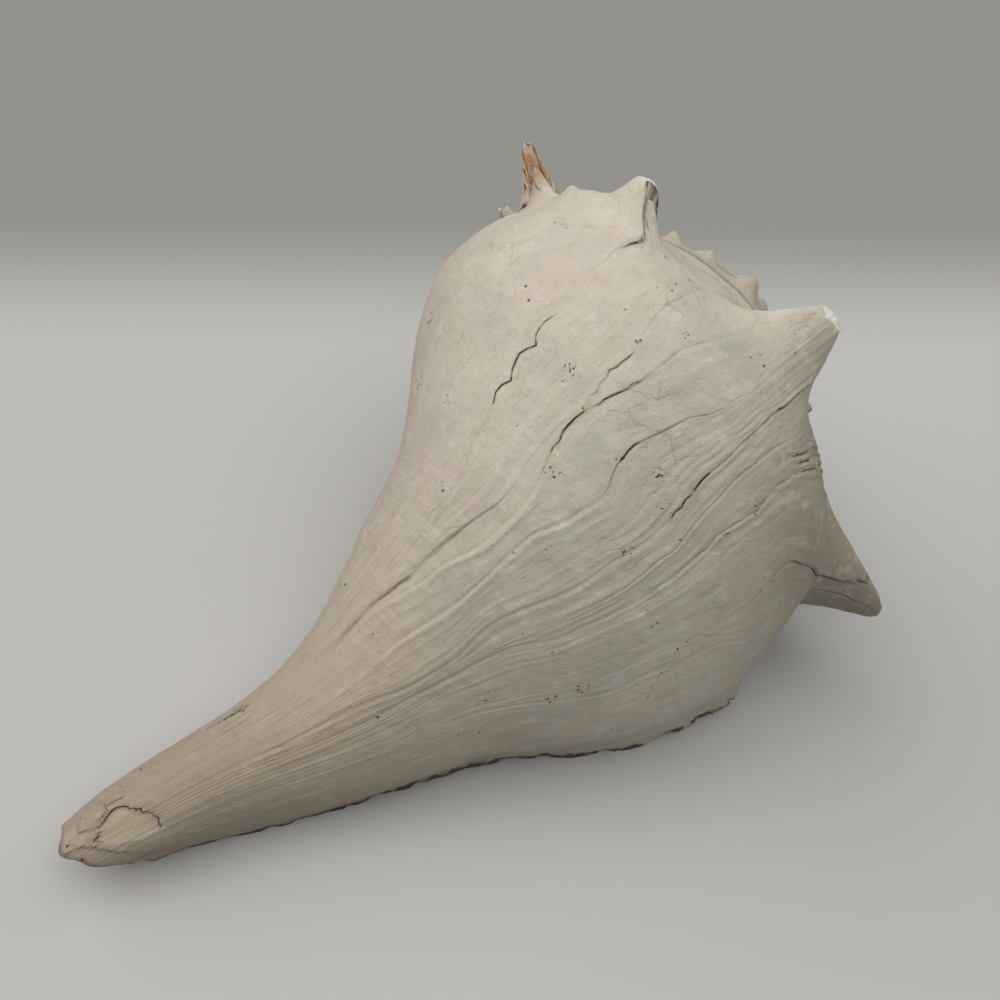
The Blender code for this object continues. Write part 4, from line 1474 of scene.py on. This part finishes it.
# %% Small marks
def crackle_net(tree, space, age, along, patches, other_patches):
    """A net of hair-thin marks, only here and there."""
    bent = add_node(tree, "ShaderNodeCombineXYZ",
                    {0: age * 62.0 + patches * 3.0, 1: along * 17.0 + other_patches * 3.0})
    net = add_node(tree, "ShaderNodeTexVoronoi", {"Vector": bent.outputs[0], "Scale": 1.0},
                   feature="DISTANCE_TO_EDGE")
    crackle = Field(tree, net.outputs["Distance"]).eased(0.045, 0.010)
    return crackle * noise(tree, space, 55.0, 3.0).eased(0.50, 0.62)


def pinholes(tree, space, grit, pitted):
    """Small, uneven dark pits that come in groups, and finer ones where scars are."""
    shaken = add_node(tree, "ShaderNodeVectorMath", {0: space, 1: grit * 0.0022}).outputs[0]

    def pits(scale, start, full):
        cells = add_node(tree, "ShaderNodeTexVoronoi", {"Vector": shaken, "Scale": scale})
        return Field(tree, cells.outputs["Distance"]).eased(start, full)

    holes = pits(380.0, 0.22, 0.10) * noise(tree, space, 62.0, 3.0, 0.7).eased(0.605, 0.66)
    scars = pits(880.0, 0.42, 0.20) * pitted.eased(0.25, 0.60)
    scars = scars * noise(tree, space, 600.0, 2.0).eased(0.42, 0.56)
    return (holes + scars).call("MINIMUM", 1.0)


def fine_relief(tree, space, grown_way, turn, along, age):
    """Height in metres of hair-thin growth lines, spiral lines and small lumps."""
    lumps = noise(tree, space, 240.0, 5.0, 0.6)
    hair = noise(tree, grown_way, 9.0, 5.0, 0.65)
    spiral_way = add_node(tree, "ShaderNodeCombineXYZ", {0: turn * 14.0, 1: along * 120.0})
    spiral = noise(tree, spiral_way.outputs[0], 1.0, 3.0)
    wavy = turn.eased(0.30, 0.36) * turn.eased(0.58, 0.50) * along.eased(0.53, 0.60)
    wavy = wavy * along.eased(0.76, 0.68)
    height = hair * (0.00026 - 0.00018 * along.eased(0.55, 0.80))
    height = height * (0.5 + age.eased(0.12, 0.22) * 0.5)
    return height + spiral * (0.00012 + wavy * 0.00045) + lumps * 0.00055


print("crackle, pinholes and fine relief are ready")

# %% [markdown]
# ## Putting the material together
#
# The worn, stained and dirty places and the painted shade in the dark lines go on last, because
# they lie on top of everything. Inside the mouth the shell was never out in the weather, so most
# marks are left out there.

# %% Chalky shell
def chalky_material():
    material, tree, shader = new_material("chalky_shell")
    space = add_node(tree, "ShaderNodeTexCoord").outputs["Object"]
    turn, along, age, inside, crack, grime, stain, worn, bare, pitted = (
        attribute(tree, label) for label in Skin.TRAITS if label != "free")
    outside_only = 1.0 - inside
    grown_way = add_node(tree, "ShaderNodeCombineXYZ", {0: age * 60.0, 1: along * 5.0}).outputs[0]
    grit = noise(tree, space, 420.0, 3.0)
    colour, patches, other_patches = shell_tints(tree, space, grown_way, turn, along, outside_only)
    crackle = crackle_net(tree, space, age, along, patches, other_patches) * outside_only
    holes = pinholes(tree, space, grit, pitted) * outside_only

    # Fresh, stained and dirty places. The dark lines and their brown halo are dirt in cracks and
    # painted shade in creases, under edges and along the lip.
    stained = stain * (noise(tree, space, 260.0, 4.0).eased(0.34, 0.60) * 0.75 + 0.25)
    chalk = (worn + (grit - 0.5) * 0.6 * worn.eased(0.0, 0.3)).eased(0.30, 0.75)
    distance = crack.call("ABSOLUTE") + (grit - 0.5) * 0.45
    breaks = noise(tree, space, 150.0, 4.0, 0.6)
    line = (distance + (breaks - 0.5) * 0.7).eased(0.26, 0.05) * grime.eased(0.15, 0.85)
    line = line * (breaks - grime * 0.20).eased(0.50, 0.38)
    halo_of_dirt_and_shade = distance.eased(0.9, 0.1) * grime * 0.24
    colour = coats(tree, colour, (crackle * 0.22, BROWN), (bare, BENEATH), (stained, STAIN),
                   (chalk * 0.9, FRESH), (holes * 0.9, DIRT_AND_SHADE), (halo_of_dirt_and_shade * outside_only, BROWN),
                   (line * 0.93, DIRT_AND_SHADE), (inside.eased(0.5, 1.0), WITHIN))
    feed(tree, shader.inputs["Base Color"], colour)

    # Dull all over, a little smoother inside the mouth, with chalky grain everywhere.
    rough = 0.80 - 0.30 * inside + 0.12 * (patches - 0.5)
    feed(tree, shader.inputs["Roughness"], rough)
    feed(tree, shader.inputs["Specular IOR Level"], 0.35)
    height = fine_relief(tree, space, grown_way, turn, along, age) - crackle * 0.00008
    height = (height - holes * 0.0004 - line * 0.0003) * outside_only
    height = height + noise(tree, space, 1500.0, 3.0, 0.6) * 0.00005
    bump = add_node(tree, "ShaderNodeBump", {"Height": height, "Distance": 1.0, "Strength": 1.0})
    feed(tree, shader.inputs["Normal"], bump.outputs[0])
    return material


chalky = chalky_material()
print("chalky shell material:", len(chalky.node_tree.nodes), "nodes")

# %% [markdown]
# ## Fine ribs and spiral cords, as a second tree
#
# The smallest ribs that still have a shape of their own are made here, after the seams are
# closed. The tree moves every point along its normal by three layers of noise: one stretched
# along the growth lines, one along the spiral, and one of small pits. It fades where the mesh
# says that the wall is joined.

# %% Build and run the surface tree
SURFACE_SIZES = {
    "Rib height": 0.00030,    # metres
    "Ribs per turn": 240.0,
    "Cord height": 0.00022,   # metres
    "Cords along": 95.0,
    "Pit height": 0.00045,    # metres
    "Pit scale": 130.0,       # pits in a metre
    "Seed": 3.0,
}
NOISE_HALF = 0.5              # noise runs from 0 to 1, so its middle is taken off
NOISE_SPAN = 2.0              # and what is left is doubled, to run from -1 to 1


def build_surface_tree():
    tree, entry, size = new_tree("surface", SURFACE_SIZES, material=True)
    turn, along, age, free = (named(tree, label) for label in ("turn", "along", "age", "free"))

    def layer(x, y):
        """Noise around 0 that is stretched along x or y."""
        way = add_node(tree, "ShaderNodeCombineXYZ", {0: x, 1: y, 2: size["Seed"]})
        return noise(tree, way.outputs[0], 1.0, 2.0, 0.5) - NOISE_HALF

    ribs = layer(age * size["Ribs per turn"], along * 7.0)
    cords = layer(turn * 11.0, along * size["Cords along"])
    where = add_node(tree, "GeometryNodeInputPosition").outputs[0]
    pits = noise(tree, where, size["Pit scale"], 3.0, 0.5) - NOISE_HALF
    height = ribs * size["Rib height"] + cords * size["Cord height"] + pits * size["Pit height"]
    shift = add_node(tree, "ShaderNodeVectorMath", operation="SCALE",
                     inputs={0: add_node(tree, "GeometryNodeInputNormal").outputs[0],
                             "Scale": height * free * NOISE_SPAN})
    finish_tree(tree, entry, offset=shift.outputs[0])
    return tree


SURFACE = build_surface_tree()
whelk_mesh = evaluated(whelk_mesh, SURFACE, SURFACE_SIZES, chalky)
print("surface tree:", len(SURFACE.nodes), "nodes; mesh has", len(whelk_mesh.polygons), "faces")

# %% [markdown]
# ## Standing on the table
#
# The shell rests on its lip, on the edge of its canal and on one spine, and those points have
# rubbed flat. Pressing every point that is below the table up to it gives the same small flats.
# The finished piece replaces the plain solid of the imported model.

# %% The finished piece
def place_whelk(mesh):
    """Press the feet of the shell flat on the table, and make the piece."""
    spots = coordinates(mesh)
    spots[:, 2] = np.maximum(spots[:, 2], 0.0)
    mesh.vertices.foreach_set("co", spots.astype(np.float32).ravel())
    mesh.polygons.foreach_set("use_smooth", np.ones(len(mesh.polygons), bool))
    mesh.update()
    mesh.name = "whelk"
    return new_object("whelk", mesh)


whelk = place_whelk(whelk_mesh)
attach(whelk, "root")
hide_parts("shell")
triangles = sum(len(polygon.vertices) - 2 for polygon in whelk.data.polygons)
sides = [round(1000 * side, 1) for side in whelk.dimensions]
print("whelk:", triangles, "triangles,", sides, "mm")

# %% [markdown]
# ## Floor
#
# The shell lies on white paper that is swept up behind it. A curved wall would hide the shell
# from behind, so the floor is flat all the way, and the far paper's darker grey is painted shade,
# in a soft band across it.

# %% The floor
FAR_WAY = (-0.716, 0.698)          # across the floor, away from the camera
# The far colour is painted shade of the paper where it would turn up into a wall.
FLOOR_PALE, FLOOR_PAINTED_SHADE = (0.495, 0.490, 0.480), (0.280, 0.279, 0.266)
FLOOR_HALF = 6.0                   # metres from the middle of the floor to its sides
FAR_STARTS, FAR_ENDS = 0.160, 0.262   # metres behind the shell's middle where the shade changes


def build_floor():
    side = FLOOR_HALF
    mesh = bpy.data.meshes.new("floor")
    mesh.from_pydata([(-side, -side, 0), (side, -side, 0), (side, side, 0), (-side, side, 0)],
                     [], [(0, 1, 2, 3)])
    floor = new_object("floor", mesh)
    material, tree, shader = new_material("paper")
    spot = add_node(tree, "ShaderNodeSeparateXYZ",
                    {0: add_node(tree, "ShaderNodeTexCoord").outputs["Object"]})
    away = Field(tree, spot.outputs[0]) * FAR_WAY[0] + Field(tree, spot.outputs[1]) * FAR_WAY[1]
    # Painted shade that darkens the floor in a soft band away from the camera.
    shade = away.eased(FAR_STARTS, FAR_ENDS)
    feed(tree, shader.inputs["Base Color"], mixed(tree, shade, FLOOR_PALE, FLOOR_PAINTED_SHADE))
    feed(tree, shader.inputs["Roughness"], 0.9)
    feed(tree, shader.inputs["Specular IOR Level"], 0.1)
    mesh.materials.append(material)
    floor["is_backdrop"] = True


build_floor()
print("floor laid")

# %% [markdown]
# ## Light
#
# The light is soft: a window on the left, the ceiling, and a weak lamp behind. A sun lamp with a
# wide angle gives a shadow that is dark only where the shell touches the table. All three are
# kept low enough that pale shell and paper never reach white. The pale wall behind the floor is
# the world's colour. It is seen by the camera and in gloss and glass, and hardly lights the shell.

# %% Lights
LAMPS = (  # name, degrees round from +X, degrees up, strength, degrees wide
    ("window", 197, 40, 1.36, 60),
    ("ceiling", 320, 80, 1.72, 75),
    ("far_lamp", 60, 60, 0.50, 60),
)
LAMP_COLOUR, WALL_COLOUR = (1.0, 0.985, 0.955), (1.0, 0.985, 0.96)
WALL_LIGHT = 0.06        # how strongly the wall lights the shell
WALL_SEEN = 0.34         # how much brighter it is to the camera, and in gloss and glass


def build_world():
    """A pale wall that is seen behind the floor, while little of it lights the shell."""
    world = bpy.data.worlds.new("studio")
    bpy.context.scene.world = world
    world.use_nodes = True
    tree = world.node_tree
    background = tree.nodes["Background"]
    feed(tree, background.inputs["Color"], WALL_COLOUR + (1.0,))
    rays = add_node(tree, "ShaderNodeLightPath")
    seen = Field(tree, rays.outputs["Is Camera Ray"])
    for ray in ("Is Glossy Ray", "Is Transmission Ray"):
        seen = seen.call("MAXIMUM", rays.outputs[ray])
    strength = seen.call("MULTIPLY_ADD", WALL_SEEN, WALL_LIGHT)
    feed(tree, background.inputs["Strength"], strength)


def build_lights():
    for name, around, up, strength, wide in LAMPS:
        lamp = bpy.data.lights.new(name, "SUN")
        lamp.energy, lamp.angle = strength, math.radians(wide)
        lamp.color = LAMP_COLOUR
        around, up = math.radians(around), math.radians(up)
        towards = Vector((math.cos(up) * math.cos(around), math.cos(up) * math.sin(around),
                          math.sin(up)))
        light = new_object(name, lamp)
        light.matrix_world = towards.to_track_quat("Z", "Y").to_matrix().to_4x4()


build_world()
build_lights()
print("lights on:", [lamp[0] for lamp in LAMPS])

# %% [markdown]
# ## Camera
#
# The camera looks down at the shell from its lip side, with a medium-long lens. Its axes are
# written out, because they are exact: right, up and backwards.

# %% The camera
CAMERA_PLACE = (0.13487, -0.14555, 0.32916)
CAMERA_RIGHT = (0.69344, 0.72049, 0.00579)
CAMERA_UP = (-0.54338, 0.51768, 0.66086)
CAMERA_BACK = (0.47315, -0.46142, 0.75048)
LENS_MM, SENSOR_MM = 39.96, 36.0
LENS_SHIFT = (0.0510, -0.0298)


def build_camera():
    data = bpy.data.cameras.new("camera")
    data.lens, data.sensor_width = LENS_MM, SENSOR_MM
    data.shift_x, data.shift_y = LENS_SHIFT
    data.clip_start, data.clip_end = 0.01, 50.0
    camera = new_object("camera", data)
    columns = zip(CAMERA_RIGHT, CAMERA_UP, CAMERA_BACK, CAMERA_PLACE)
    camera.matrix_world = Matrix([list(row) for row in columns] + [[0, 0, 0, 1]])
    bpy.context.scene.camera = camera


build_camera()
bpy.context.scene.view_settings.view_transform = "Standard"
print("camera", CAMERA_PLACE)

# %% [markdown]
# ## The visible box
#
# The box round everything that is seen, with the floor left out, is worked out and printed in
# millimetres. The visible shell has to keep the size of the imported model.

# %% Measure the visible box and finish
VISUAL_BOX = [list(corner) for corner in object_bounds()]
for name, low, high in zip("xyz", *VISUAL_BOX):
    print(name, "from", round(1000 * low, 1), "to", round(1000 * high, 1), "mm")
